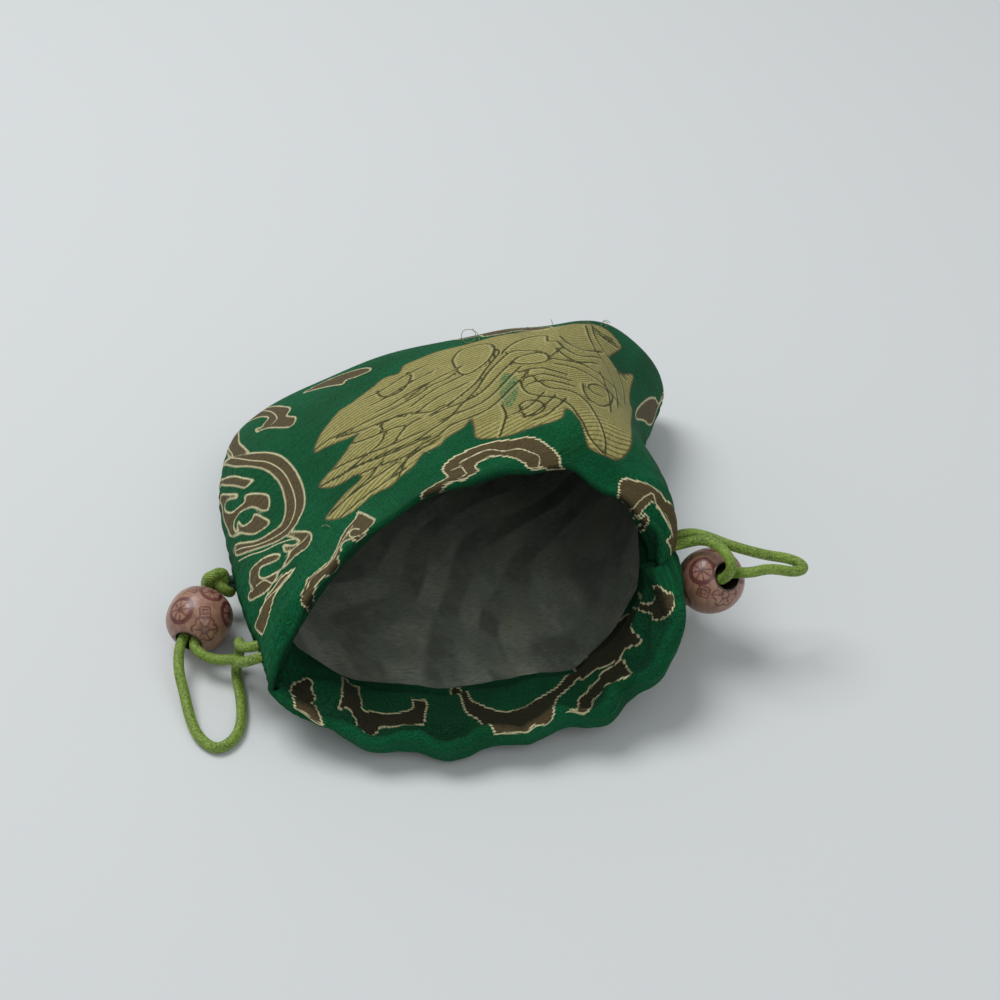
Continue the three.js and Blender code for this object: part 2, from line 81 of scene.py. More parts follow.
sections = np.array([
    (0, -0.414, 0.418, 0.12, 0.423, 0.509, 0.28,
     0, 0, 0.22, 0.3, 0.6, 0.6, 0, 0, -0.1, 0, 0.6, 0.6),
    (0.08, -0.45, 0.373, 0.24, 0.45, 0.473, 0.4,
     0.01, 0.036, 0.42, 0.5, 0.6, 0.6, 0, 0.01, -0.3, 0, 0.6, 0.6),
    (0.2, -0.468, 0.264, 0.36, 0.441, 0.382, 0.54,
     0.018, 0.045, 0.72, 0.5, 0.58, 0.58, 0, 0.018, 0.12, 0, 0.6, 0.6),
    (0.4, -0.455, 0.073, 0.44, 0.391, 0.2, 0.56,
     0.036, 0.036, 0.94, 0.45, 0.6, 0.6, 0, 0.018, 0.75, 0, 0.6, 0.6),
    (0.6, -0.405, -0.127, 0.48, 0.386, 0.045, 0.68,
     0.045, 0.045, 1, 0.35, 0.62, 0.62, -0.01, 0, 1, 0, 0.6, 0.6),
    (0.8, -0.345, -0.318, 0.52, 0.416, -0.105, 0.9,
     0.055, 0.073, 0.97, 0.13, 0.6, 0.63, 0.027, -0.064, 0.62, 0.12, 0.6, 0.52),
    (0.9, -0.325, -0.391, 0.528, 0.421, -0.182, 0.972,
     0.05, 0.09, 0.94, 0.02, 0.55, 0.63, 0.064, -0.14, -0.12, 0.24, 0.6, 0.42),
    (0.95, -0.318, -0.416, 0.504, 0.409, -0.211, 1,
     0.045, 0.1, 0.93, -0.03, 0.52, 0.67, 0.082, -0.177, -0.5, 0.3, 0.62, 0.38),
    (1, -0.314, -0.436, 0.48, 0.394, -0.236, 1.02,
     0.04, 0.11, 0.92, -0.08, 0.48, 0.72, 0.086, -0.173, -1.75, 0.34, 0.64, 0.36),
])
folds = (
    # panel, u, t, across, along, depth
    ("front", 0.86, 0.3, 0.16, 0.34, -0.7),
    ("front", 0.7, 0.9, 0.16, 0.16, -0.55),
    ("front", -0.72, 0.86, 0.14, 0.3, -0.45),
    ("front", -0.1, 0.88, 0.3, 0.1, -0.35),
    ("front", 0.25, 0.35, 0.12, 0.5, 0.35),
    ("back", -0.85, 0.93, 0.13, 0.16, -0.8),
    ("back", 0.88, 0.93, 0.13, 0.16, -0.8),
)
exponents = {"front": 2.2, "back": 2.4}


def unit(v):
    return v / np.linalg.norm(v, axis=-1, keepdims=True)


def dot(a, b):
    return np.sum(a * b, axis=-1, keepdims=True)


def tableValue(name, t):
    rows, values = sections[:, 0], sections[:, sectionColumns.index(name)]
    slopes = np.empty(len(rows))
    slopes[1:-1] = (values[2:] - values[:-2]) / (rows[2:] - rows[:-2])
    slopes[0] = (values[1] - values[0]) / (rows[1] - rows[0])
    slopes[-1] = (values[-1] - values[-2]) / (rows[-1] - rows[-2])
    row = np.clip(np.searchsorted(rows, t, side="right") - 1, 0, len(rows) - 2)
    span = rows[row + 1] - rows[row]
    s = (t - rows[row]) / span
    return ((1 + 2 * s) * (1 - s) ** 2 * values[row] + s * (1 - s) ** 2 * span * slopes[row]
            + s * s * (3 - 2 * s) * values[row + 1] + s * s * (s - 1) * span * slopes[row + 1])


def seam(side, t):
    return np.stack([tableValue(side + "X", t) * pouch["width"],
                     tableValue(side + "Y", t) * pouch["length"],
                     tableValue(side + "Z", t) * pouch["seamHeight"]], -1)


def bulge(panel, t):
    if panel == "front":
        return np.stack([tableValue("crownX", t) * pouch["width"],
                         tableValue("crownY", t) * pouch["length"],
                         tableValue("crownZ", t) * pouch["crownRise"]], -1)
    lineHeight = (seam("left", t)[..., 2] + seam("right", t)[..., 2]) / 2
    return np.stack([tableValue("bellyX", t) * pouch["width"],
                     tableValue("bellyY", t) * pouch["length"],
                     -lineHeight - tableValue("bellyZ", t) * pouch["bellyPress"]], -1)


def peakOf(panel, t):
    return tableValue("crownPeak" if panel == "front" else "bellyPeak", t)


def fullness(panel, w, t):
    name = "crown" if panel == "front" else "belly"
    return np.where(w < 0, tableValue(name + "Left", t), tableValue(name + "Right", t))


def slant(panel, line, place):
    t = np.maximum(place, pouch["bottomRadius"] / pouch["length"]) if line == "crest" else place
    step = 0.01

    def at(x):
        if line != "crest":
            return seam(line, x)
        share = ((peakOf(panel, x) + 1) / 2)[..., None]
        return seam("left", x) * (1 - share) + seam("right", x) * share + bulge(panel, x)

    chord = unit(seam("right", t) - seam("left", t))
    outward = unit(bulge(panel, t))
    inward, sideways = (outward, chord) if line == "crest" else (chord, outward)
    along = at(t) - at(t - step)
    along = unit(along - dot(along, sideways) * sideways)
    return 1 / np.sqrt(1 - dot(along, inward) ** 2)


def apart(t):
    step = 0.01
    along = seam("left", t) + seam("right", t) - seam("left", t - step) - seam("right", t - step)
    return unit(np.cross(along, seam("right", t) - seam("left", t)))


# Small folds that the solids don't have: pleats that run in from the rim, puckers along the
# side seams and a slow unevenness of the cloth
ripples = [(rng.uniform(0.25, 0.75), rng.uniform(-0.5, 0.5), rng.uniform(0, 6.28), 0.00012)
           for _ in range(9)]
gatherHeight = {"front": 0.0005, "back": 0.0012}
pleatHeight = {"front": 0.00004, "back": 0.0002}


def ruffle(panel, u, w, t):
    fade = np.clip((t - pouch["gatherStart"]) / (1 - pouch["gatherStart"]), 0, 1.06) ** 2
    across = u * pouch["width"] / 2 - pouch["gatherShift"]
    turn = 2 * np.pi * across / pouch["gatherPitch"]
    push = gatherHeight[panel] * fade * np.cos(turn) * (1 - w ** 4)
    pleats = np.sin(2.7 * turn + 2.1 + 1.2 * np.sin(1.3 * turn))
    push += pleatHeight[panel] * fade ** 3 * pleats * (1 - w ** 6)
    for name, foldU, foldT, foldAcross, foldAlong, depth in folds:
        if name == panel:
            x = (u - foldU) / (2 * foldAcross)
            y = (t - foldT) / foldAlong
            push += depth * pouch["foldDepth"] * np.exp(-4 * (x * x + y * y)) * (1 - w ** 6)
    x, y = u * 55, t * 110
    for kx, ky, phase, size in ripples:
        push += np.clip(t / 0.15, 0, 1) * size * np.sin(kx * 0.35 * x + ky * 0.4 * y + phase)
    corner = fade * np.exp(-((1 - np.abs(w)) / 0.16) ** 2) * (1 - w ** 16)
    push += 0.0014 * corner * np.sin(y * 1.25 + x * 0.5 + (w > 0) * 1.3)
    pucker = np.exp(-((1 - np.abs(w)) / 0.035) ** 2)
    push += 0.0001 * pucker * np.sin(y * 1.15 + 1.7 * np.sin(y * 0.31) + (w > 0) * 2)
    return push


def cloth(panel, w, t, depth):
    w, t, depth = np.broadcast_arrays(
        np.asarray(w, float), np.asarray(t, float), np.asarray(depth, float))
    left, right = seam("left", t), seam("right", t)
    chord = unit(right - left)
    corner = np.maximum(1 - t * pouch["length"] / (2 * pouch["bottomRadius"]), 0)[..., None]
    left = left + chord * depth[..., None] * (slant(panel, "left", t) + corner)
    right = right - chord * depth[..., None] * (slant(panel, "right", t) + corner)
    reach = bulge(panel, t)
    size = np.linalg.norm(reach, axis=-1, keepdims=True)
    outward = reach / size
    closing = np.clip((t * pouch["length"] - depth * pouch["bottomLift"])
                      / pouch["bottomRadius"], 0, 1)
    rounding = np.sqrt(1 - (1 - closing) ** 2.2)
    arch = np.maximum(1 - np.abs(w) ** exponents[panel], 0) ** fullness(panel, w, t)
    peak = peakOf(panel, t)
    u = np.where(w < 0, peak + w * (1 + peak), peak + w * (1 - peak))
    share = ((u + 1) / 2)[..., None]
    inset = depth[..., None] * slant(panel, "crest", t)
    point = left * (1 - share) + right * share
    point = point + outward * (size - inset) * (rounding * arch)[..., None]
    point = point + apart(t) * pouch["seamGap"] / 2 * (1 if panel == "front" else -1)
    push = ruffle(panel, u, w, t)[..., None]
    upright = np.sqrt(np.maximum(1 - w * w, 0))[..., None]
    point = point + outward * push * upright + chord * push * w[..., None]
    if panel == "back":
        point[..., 2] = np.maximum(point[..., 2], depth)
    return point


def fromRim(panel, distance, w):
    # t for each distance from the rim (rows) and each w (columns)
    samples = 1 - 0.01 * np.arange(70)
    points = cloth(panel, w[None, :], samples[:, None], 0)
    rimLine = unit(cloth(panel, np.minimum(w + 0.02, 1), 1, 0)
                   - cloth(panel, np.maximum(w - 0.02, -1), 1, 0))
    advance = np.diff(points, axis=0)
    advance = advance - dot(advance, rimLine) * rimLine
    lengths = np.vstack([np.zeros(len(w)), np.cumsum(np.linalg.norm(advance, axis=-1), axis=0)])
    found = np.stack([np.interp(distance[:, c], lengths[:, c], samples)
                      for c in range(len(w))], 1)
    if len(w) < 30:
        return found
    wide = np.pad(found, ((0, 0), (12, 12)), mode="edge")
    return np.stack([wide[:, c:c + 25].mean(axis=1) for c in range(len(w))], 1)


def hemRoom(distance):
    share = np.clip(distance / pouch["hem"], 0, 1)
    return pouch["foldRoom"] + (pouch["casingRoom"] - pouch["foldRoom"]) * np.maximum(
        np.sin(np.pi * share), 0) ** 0.35


def columnsOf(count):
    s = np.linspace(-1, 1, count)
    return 0.7 * np.sin(np.pi / 2 * s) + 0.3 * s


def inSlit(panel, w, distance):
    # the cloth's edges stand apart where the drawstrings come out
    middle = (pouch["slitFrom"] + pouch["slitTo"]) / 2
    half = (pouch["slitTo"] - pouch["slitFrom"]) / 2
    opening = np.clip(1.25 * (1 - ((distance - middle) / half) ** 4), 0, 1)
    rise = pouch["slitWidth"] / 2 * opening / np.linalg.norm(
        bulge(panel, np.full(1, 0.95)), axis=-1)
    edge = (1 - rise ** (1 / 0.6)) ** (1 / exponents[panel])
    return w * edge


def meshOf(name, vertices, faces, material=None, uv=None, smooth=True):
    mesh = bpy.data.meshes.new(name)
    mesh.from_pydata(np.asarray(vertices).tolist(), [], np.asarray(faces).tolist()
                     if not isinstance(faces, list) else faces)
    mesh.update()
    if uv is not None:
        layer = mesh.uv_layers.new(name="clothPlace")
        corners = np.empty(len(mesh.loops), dtype=np.int32)
        mesh.loops.foreach_get("vertex_index", corners)
        layer.data.foreach_set("uv", np.asarray(uv, dtype=np.float32)[corners].ravel())
    mesh.polygons.foreach_set("use_smooth", [smooth] * len(mesh.polygons))
    obj = bpy.data.objects.new(name, mesh)
    bpy.context.scene.collection.objects.link(obj)
    if material:
        mesh.materials.append(material)
    return obj


def addAttribute(obj, name, values):
    layer = obj.data.attributes.new(name, "FLOAT", "POINT")
    layer.data.foreach_set("value", np.asarray(values, dtype=np.float32))


def gridFaces(rows, columns, flip=False):
    index = np.arange(rows * columns).reshape(rows, columns)
    quads = np.stack([index[:-1, :-1], index[:-1, 1:], index[1:, 1:], index[1:, :-1]],
                     -1).reshape(-1, 4)
    return quads[:, ::-1] if flip else quads


# Materials
def newMaterial(name):
    material = bpy.data.materials.new(name)
    material.use_nodes = True
    return material, material.node_tree.nodes, material.node_tree.links


class Nodes:
    # short calls for the maths of a node tree
    def __init__(self, tree):
        self.tree = tree

    def new(self, kind, inputs=None, **settings):
        node = self.tree.nodes.new(kind)
        for key, value in settings.items():
            setattr(node, key, value)
        for key, value in (inputs or {}).items():
            self.put(node.inputs[key], value)
        return node

    def put(self, socket, value):
        if isinstance(value, bpy.types.NodeSocket):
            self.tree.links.new(value, socket)
        else:
            socket.default_value = value

    def math(self, operation, a, b=0.0, c=0.0, clamp=False):
        node = self.new("ShaderNodeMath", {0: a, 1: b, 2: c}, operation=operation)
        node.use_clamp = clamp
        return node.outputs[0]

    def ramp(self, value, low, high, fromValue=0.0, toValue=1.0):
        # falls or rises smoothly between low and high
        node = self.new("ShaderNodeMapRange",
                        {"Value": value, "From Min": low, "From Max": high,
                         "To Min": fromValue, "To Max": toValue}, interpolation_type="SMOOTHSTEP")
        return node.outputs["Result"]

    def mix(self, factor, a, b, blend="MIX"):
        node = self.new("ShaderNodeMix", data_type="RGBA", blend_type=blend)
        self.put(node.inputs[0], factor)
        self.put(node.inputs[6], a)
        self.put(node.inputs[7], b)
        return node.outputs[2]

    def attribute(self, name):
        return self.new("ShaderNodeAttribute", attribute_name=name).outputs["Fac"]

    def noise(self, vector, scale, detail=2.0, roughness=0.5):
        return self.new("ShaderNodeTexNoise", {"Vector": vector, "Scale": scale,
                        "Detail": detail, "Roughness": roughness}).outputs["Fac"]

    def scaled(self, vector, factors):
        return self.new("ShaderNodeVectorMath", {0: vector, 1: factors},
                        operation="MULTIPLY").outputs[0]


def colour(r, g, b):
    # display values from 0 to 255
    return tuple(((c / 255) / 12.92 if c < 10.3 else ((c / 255 + 0.055) / 1.055) ** 2.4)
                 for c in (r, g, b)) + (1,)


# The brocade's figures are thread floats: brown bands edged with pale gold, and a large pale
# gold leaf with olive veins. Their edges are kept on the cloth as distances in millimetres.
def brocadeMaterial():
    material, nodes, links = newMaterial("brocade")
    n = Nodes(material.node_tree)
    shader = nodes["Principled BSDF"]
    place = n.new("ShaderNodeUVMap", uv_map="clothPlace").outputs[0]
    across = n.scaled(place, (1, 0.12, 1))
    along = n.scaled(place, (0.12, 1, 1))
    # threads, 0.3 and 0.35 mm apart, in units of 1 mm of the cloth
    weft = n.new("ShaderNodeTexWave", {"Vector": place, "Scale": 1.05, "Distortion": 0.6,
                 "Detail": 1.0, "Detail Scale": 2.0}, bands_direction="Y").outputs["Fac"]
    warp = n.new("ShaderNodeTexWave", {"Vector": place, "Scale": 0.9, "Distortion": 0.5,
                 "Detail": 1.0, "Detail Scale": 2.0}, bands_direction="X").outputs["Fac"]
    fray = n.math("MULTIPLY_ADD", n.noise(along, 3.2, 1.0), 0.7, -0.35)
    fray = n.math("ADD", fray, n.math("MULTIPLY_ADD", n.noise(across, 4.0, 1.0), 0.35, -0.17))
    comb = n.new("ShaderNodeTexWave", {"Vector": place, "Scale": 0.46, "Distortion": 2.0,
                 "Detail": 1.0, "Detail Scale": 1.0}, bands_direction="Y").outputs["Fac"]
    fray = n.math("ADD", fray, n.math("MULTIPLY_ADD", comb, 0.5, -0.25))
    brown = n.math("ADD", n.attribute("brown"), n.math("MULTIPLY", fray, 0.25))
    gold = n.math("ADD", n.attribute("gold"), n.math("MULTIPLY", fray, 0.5))
    green = n.attribute("green")
    veinSide = n.attribute("veinSide")
    veinNear = n.attribute("veinNear")
    lineSide = n.attribute("lineSide")
    lineNear = n.attribute("lineNear")

    def stroke(side, near, half):
        thin = n.ramp(n.math("ABSOLUTE", side), half - 0.1, half + 0.1, 1, 0)
        return n.math("MULTIPLY", thin, n.ramp(near, half + 0.25, half + 0.45, 1, 0))

    # green ground, a satin with fine lighter flecks
    flecks = n.ramp(n.noise(across, 6.5, 3.0, 0.7), 0.52, 0.8)
    cloudy = n.noise(place, 0.06, 3.0)
    ground = n.mix(n.ramp(cloudy, 0.3, 0.7), colour(0, 84, 44), colour(2, 106, 62))
    grain = n.noise(place, 2.6, 3.0, 0.7)
    ground = n.mix(n.math("MULTIPLY", flecks, 0.7), ground, colour(36, 138, 88))
    ground = n.mix(n.ramp(grain, 0.35, 0.62, 0.75, 0), ground, colour(0, 40, 22))
    # brown figures
    brownTone = n.mix(n.noise(across, 5.0, 3.0, 0.7), colour(40, 33, 20), colour(118, 102, 68))
    # painted shade: the brown figures on the turned-in hem are darkened towards near-black
    inside = n.attribute("inside")
    brownTone = n.mix(n.math("MULTIPLY", inside, 0.7), brownTone, colour(22, 18, 9))
    colourOut = n.mix(n.ramp(brown, -0.12, 0.12, 1, 0), ground, brownTone)
    # the pale leaf, hatched with short olive floats
    hatch = n.new("ShaderNodeTexWave", {"Vector": n.new("ShaderNodeVectorRotate", {
        "Vector": place, "Angle": 0.35}, rotation_type="Z_AXIS").outputs[0],
        "Scale": 0.24, "Distortion": 1.6, "Detail": 2.0, "Detail Scale": 0.5},
        bands_direction="Y").outputs["Fac"]
    dash = n.noise(place, 1.6, 2.0, 0.7)
    hatching = n.math("MULTIPLY", n.ramp(hatch, 0.16, 0.34, 1, 0), n.ramp(dash, 0.3, 0.42))
    pale = n.mix(n.noise(place, 0.25, 2.0), colour(190, 182, 112), colour(160, 152, 92))
    pale = n.mix(n.math("MULTIPLY", n.ramp(dash, 0.42, 0.7), 0.4), pale, colour(106, 100, 58))
    pale = n.mix(n.math("MULTIPLY", hatching, 0.66), pale, colour(66, 66, 34))
    colourOut = n.mix(n.ramp(gold, -0.12, 0.12, 1, 0), colourOut, pale)
    rust = n.math("MULTIPLY", n.ramp(n.math("ABSOLUTE", gold), 0.1, 0.4, 1, 0), 0.55)
    colourOut = n.mix(rust, colourOut, colour(110, 84, 62))
    stipple = n.math("MULTIPLY", n.ramp(green, -0.4, 0.4, 1, 0),
                     n.ramp(n.noise(place, 2.2, 1.0), 0.46, 0.54))
    colourOut = n.mix(stipple, colourOut, colour(20, 112, 70))
    # veins and pale outlines
    beside = n.math("ABSOLUTE", n.math("SUBTRACT", veinSide, 0.62))
    outside = n.math("MAXIMUM", veinNear, n.math("ADD", gold, 1))
    beside = n.math("MULTIPLY", n.ramp(beside, 0.12, 0.26, 1, 0),
                    n.ramp(outside, 0.9, 1.1, 1, 0))
    colourOut = n.mix(n.math("MULTIPLY", beside, 0.5), colourOut, colour(196, 188, 130))
    veins = n.math("MULTIPLY", stroke(veinSide, veinNear, 0.2), n.ramp(gold, -0.3, 0, 1, 0))
    colourOut = n.mix(n.math("MULTIPLY", veins, 0.92), colourOut, colour(46, 50, 24))
    edge = n.math("ABSOLUTE", n.math("ADD", n.attribute("brown"), 0.1))
    edge = n.math("ADD", edge, n.math("MULTIPLY", fray, 0.55))
    outline = n.math("MAXIMUM", n.ramp(edge, 0.13, 0.28, 1, 0), stroke(
        n.math("ADD", lineSide, n.math("MULTIPLY", fray, 0.2)), lineNear, 0.14))
    worn = n.ramp(n.noise(place, 1.1, 3.0, 0.7), 0.25, 0.5)
    outline = n.math("MULTIPLY", outline, n.math("MULTIPLY_ADD", worn, 0.3, 0.7))
    goldThread = n.mix(n.noise(across, 6.0, 1.0), colour(252, 248, 208), colour(196, 184, 128))
    colourOut = n.mix(outline, colourOut, goldThread)
    # painted shade: the turned-in hem, deep in the mouth, is darkened towards a near-black green
    colourOut = n.mix(n.math("MULTIPLY", inside, 0.8), colourOut,
                      n.mix(0.72, colourOut, colour(4, 18, 10)))
    links.new(colourOut, shader.inputs["Base Color"])
    figure = n.math("MAXIMUM", n.ramp(brown, -0.2, 0.2, 1, 0), n.ramp(gold, -0.2, 0.2, 1, 0))
    links.new(n.math("MULTIPLY_ADD", figure, -0.1, 0.72), shader.inputs["Roughness"])
    shader.inputs["Sheen Weight"].default_value = 0.03
    shader.inputs["Sheen Roughness"].default_value = 0.4
    shader.inputs["Sheen Tint"].default_value = (0.35, 0.85, 0.55, 1)
    shader.inputs["Specular IOR Level"].default_value = 0.12
    height = n.math("ADD", n.math("MULTIPLY", weft, 0.5), n.math("MULTIPLY", warp, 0.35))
    height = n.math("ADD", height, n.math("MULTIPLY", figure, 1.2))
    height = n.math("ADD", height, n.math("MULTIPLY", outline, 1.4))
    height = n.math("ADD", height, n.math("MULTIPLY", veins, -1.0))
    height = n.math("ADD", height, n.math("MULTIPLY", n.noise(place, 0.5, 4.0, 0.6), 9))
    bump = n.new("ShaderNodeBump", {"Height": height, "Strength": 0.9, "Distance": 0.00018})
    links.new(bump.outputs[0], shader.inputs["Normal"])
    return material


def liningMaterial():
    material, nodes, links = newMaterial("lining")
    n = Nodes(material.node_tree)
    shader = nodes["Principled BSDF"]
    place = n.new("ShaderNodeUVMap", uv_map="clothPlace").outputs[0]
    slub = n.noise(n.scaled(place, (0.35, 1.6, 1)), 1.4, 4.0, 0.7)
    patches = n.noise(place, 0.1, 3.0, 0.6)
    base = n.mix(n.ramp(patches, 0.3, 0.7), colour(112, 120, 106), colour(140, 148, 132))
    base = n.mix(n.math("MULTIPLY", n.ramp(slub, 0.35, 0.7), 0.55), base, colour(72, 79, 68))
    swirl = n.new("ShaderNodeTexWave", {"Vector": n.scaled(place, (1, 1.1, 1)), "Scale": 0.028,
                  "Distortion": 16, "Detail": 1.0, "Detail Scale": 0.55},
                  bands_direction="DIAGONAL").outputs["Fac"]
    shadowed = n.math("MULTIPLY", n.ramp(swirl, 0.3, 0.75), n.ramp(patches, 0.35, 0.6))
    base = n.mix(n.math("MULTIPLY", shadowed, 0.7), base, colour(62, 68, 58))
    base = n.mix(n.math("MULTIPLY", n.ramp(n.noise(place, 0.07, 1.0), 0.5, 0.75), 0.35),
                 base, colour(138, 134, 108))
    links.new(base, shader.inputs["Base Color"])
    shader.inputs["Roughness"].default_value = 0.95
    shader.inputs["Specular IOR Level"].default_value = 0.1
    shader.inputs["Sheen Weight"].default_value = 0.2
    weave = n.new("ShaderNodeTexWave", {"Vector": place, "Scale": 0.8, "Distortion": 2.0,
                  "Detail": 2.0}, bands_direction="Y").outputs["Fac"]
    height = n.math("ADD", n.math("MULTIPLY", slub, 3), n.math("MULTIPLY", weave, 0.5))
    bump = n.new("ShaderNodeBump", {"Height": height, "Strength": 0.6, "Distance": 0.0002})
    links.new(bump.outputs[0], shader.inputs["Normal"])
    return material


def cordMaterial(name, dark, light):
    material, nodes, links = newMaterial(name)
    n = Nodes(material.node_tree)
    shader = nodes["Principled BSDF"]
    place = n.new("ShaderNodeTexCoord").outputs["Object"]
    fine = n.noise(place, 2600, 2.0, 0.6)
    broad = n.noise(place, 260, 2.0)
    base = n.mix(n.ramp(fine, 0.3, 0.7), dark, light)
    base = n.mix(n.math("MULTIPLY", n.ramp(broad, 0.4, 0.7), 0.35), base, light)
    links.new(base, shader.inputs["Base Color"])
    shader.inputs["Roughness"].default_value = 0.5
    shader.inputs["Sheen Weight"].default_value = 0.1
    shader.inputs["Sheen Tint"].default_value = (0.85, 1, 0.5, 1)
    bump = n.new("ShaderNodeBump", {"Height": fine, "Strength": 0.4, "Distance": 0.00008})
    links.new(bump.outputs[0], shader.inputs["Normal"])
    return material


def beadMaterial():
    material, nodes, links = newMaterial("printedBead")
    n = Nodes(material.node_tree)
    shader = nodes["Principled BSDF"]
    place = n.new("ShaderNodeTexCoord").outputs["Object"]
    grain = n.noise(n.scaled(place, (1, 1, 0.3)), 900, 3.0, 0.6)
    base = n.mix(n.ramp(grain, 0.3, 0.75), colour(160, 122, 98), colour(128, 90, 70))
    base = n.mix(n.math("MULTIPLY", n.ramp(n.noise(place, 160, 2.0), 0.45, 0.7), 0.5),
                 base, colour(158, 110, 108))
    ink = n.math("ADD", n.attribute("ink"), n.math("MULTIPLY_ADD", n.noise(place, 1500, 2.0),
                                                   0.3, -0.15))
    faded = n.math("MULTIPLY_ADD", n.ramp(n.noise(place, 500, 2.0), 0.3, 0.7), 0.25, 0.72)
    inkTone = n.mix(n.noise(place, 300, 1.0), colour(62, 18, 30), colour(104, 38, 34))
    base = n.mix(n.math("MULTIPLY", n.ramp(ink, -0.1, 0.1, 1, 0), faded), base, inkTone)
    # painted shade: the bore and the rim of the hole are darkened to a deep brown
    base = n.mix(n.ramp(n.attribute("bore"), -0.2, 0.4, 1, 0), base, colour(52, 34, 26))
    links.new(base, shader.inputs["Base Color"])
    shader.inputs["Roughness"].default_value = 0.38
    shader.inputs["Coat Weight"].default_value = 0.25
    shader.inputs["Coat Roughness"].default_value = 0.25
    bump = n.new("ShaderNodeBump", {"Height": grain, "Strength": 0.15, "Distance": 0.0001})
    links.new(bump.outputs[0], shader.inputs["Normal"])
    return material


brocade = brocadeMaterial()
liningCloth = liningMaterial()
satin = cordMaterial("satinCord", colour(56, 84, 20), colour(138, 166, 62))
# painted shade: the knots' cut ends get a darker copy of the cord satin, its colour in shade
paintedShadeSatin = cordMaterial("paintedShadeTail", colour(8, 44, 34), colour(24, 74, 54))
bead = beadMaterial()
print("materials made")

# Cords next. Each drawstring comes out of the slit of a side seam as two strands, which meet
# in a bead and end in a knot. Points in millimetres: across and along from where the strand
# leaves the seam, and the height above the floor.
cordDiameter = 0.0022
exitPlaces = {"short": 0.0074, "loop": 0.0108}
strandPoints = {
    "left_short": [
        (-2.8, -1, 12.8), (-4, 1.5, 10.6), (-4.7, 4.9, 7.6), (-7.2, 7.3, 5.6),
        (-10.2, 7.6, 4.8)],
    "left_loop": [
        (-2.4, -0.2, 12.7), (-3.8, 2.4, 11.4), (-4.3, 5.4, 9), (-4.5, 7, 5.9), (-5.3, 6.8, 3),
        (-5.6, 4.4, 1.5), (-4.4, -0.3, 1.2), (-3.1, -7.3, 1.2), (-3.5, -13.2, 1.2),
        (-6.7, -16.7, 1.2), (-10.7, -13.7, 1.2), (-13.3, -8.4, 1.6), (-15.1, -2.6, 3),
        (-16.5, 1.4, 4.2)],
    "right_short": [
        (2.7, 0, 25.2), (5.7, -1.1, 26.8), (8.7, -4.3, 27.4), (10.9, -7.7, 25.8)],
    "right_loop": [
        (2.9, 0.5, 24.3), (6.4, -0.7, 24.5), (10.3, -2.6, 24), (14.7, -3, 22.6),
        (19.4, -2.9, 21), (24.1, -2.9, 20.1), (26.7, -5.5, 20.2), (24.3, -8.1, 21.1),
        (20.1, -8.7, 22.6), (16.9, -10.2, 23.8), (14.9, -11.4, 24)],
}
beadSize = {"diameter": 0.0134, "length": 0.012, "bore": 0.0059, "pitch": 0.0027}
beadPlaces = {
    "left": ((-0.0146, 0.0177, 0.00685), (-0.28, -0.946, -0.147)),
    "right": ((0.0075, -0.0024, 0.0168), (0.45, -0.54, 0.705)),
}


def smoothPath(points, step=0.00035):
    # centripetal Catmull-Rom through the points
    points = [np.array(p, float) for p in points]
    ends = [2 * points[0] - points[1], *points, 2 * points[-1] - points[-2]]
    found = []
    for a, b, c, d in zip(ends, ends[1:], ends[2:], ends[3:]):
        t1 = math.sqrt(np.linalg.norm(b - a))
        t2 = t1 + math.sqrt(np.linalg.norm(c - b))
        t3 = t2 + math.sqrt(np.linalg.norm(d - c))
        count = max(2, round(np.linalg.norm(c - b) / step))
        for t in np.linspace(t1, t2, count, endpoint=False):
            a1 = (t1 - t) / t1 * a + t / t1 * b
            a2 = (t2 - t) / (t2 - t1) * b + (t - t1) / (t2 - t1) * c
            a3 = (t3 - t) / (t3 - t2) * c + (t - t2) / (t3 - t2) * d
            b1 = (t2 - t) / t2 * a1 + t / t2 * a2
            b2 = (t3 - t) / (t3 - t1) * a2 + (t - t1) / (t3 - t1) * a3
            found.append((t2 - t) / (t2 - t1) * b1 + (t - t1) / (t2 - t1) * b2)
    return np.array([*found, points[-1]])


def eased(path, rounds):
    # a limp cord takes no sharp turn
    for _ in range(rounds):
        path[1:-1] = (path[:-2] + 2 * path[1:-1] + path[2:]) / 4
    return path


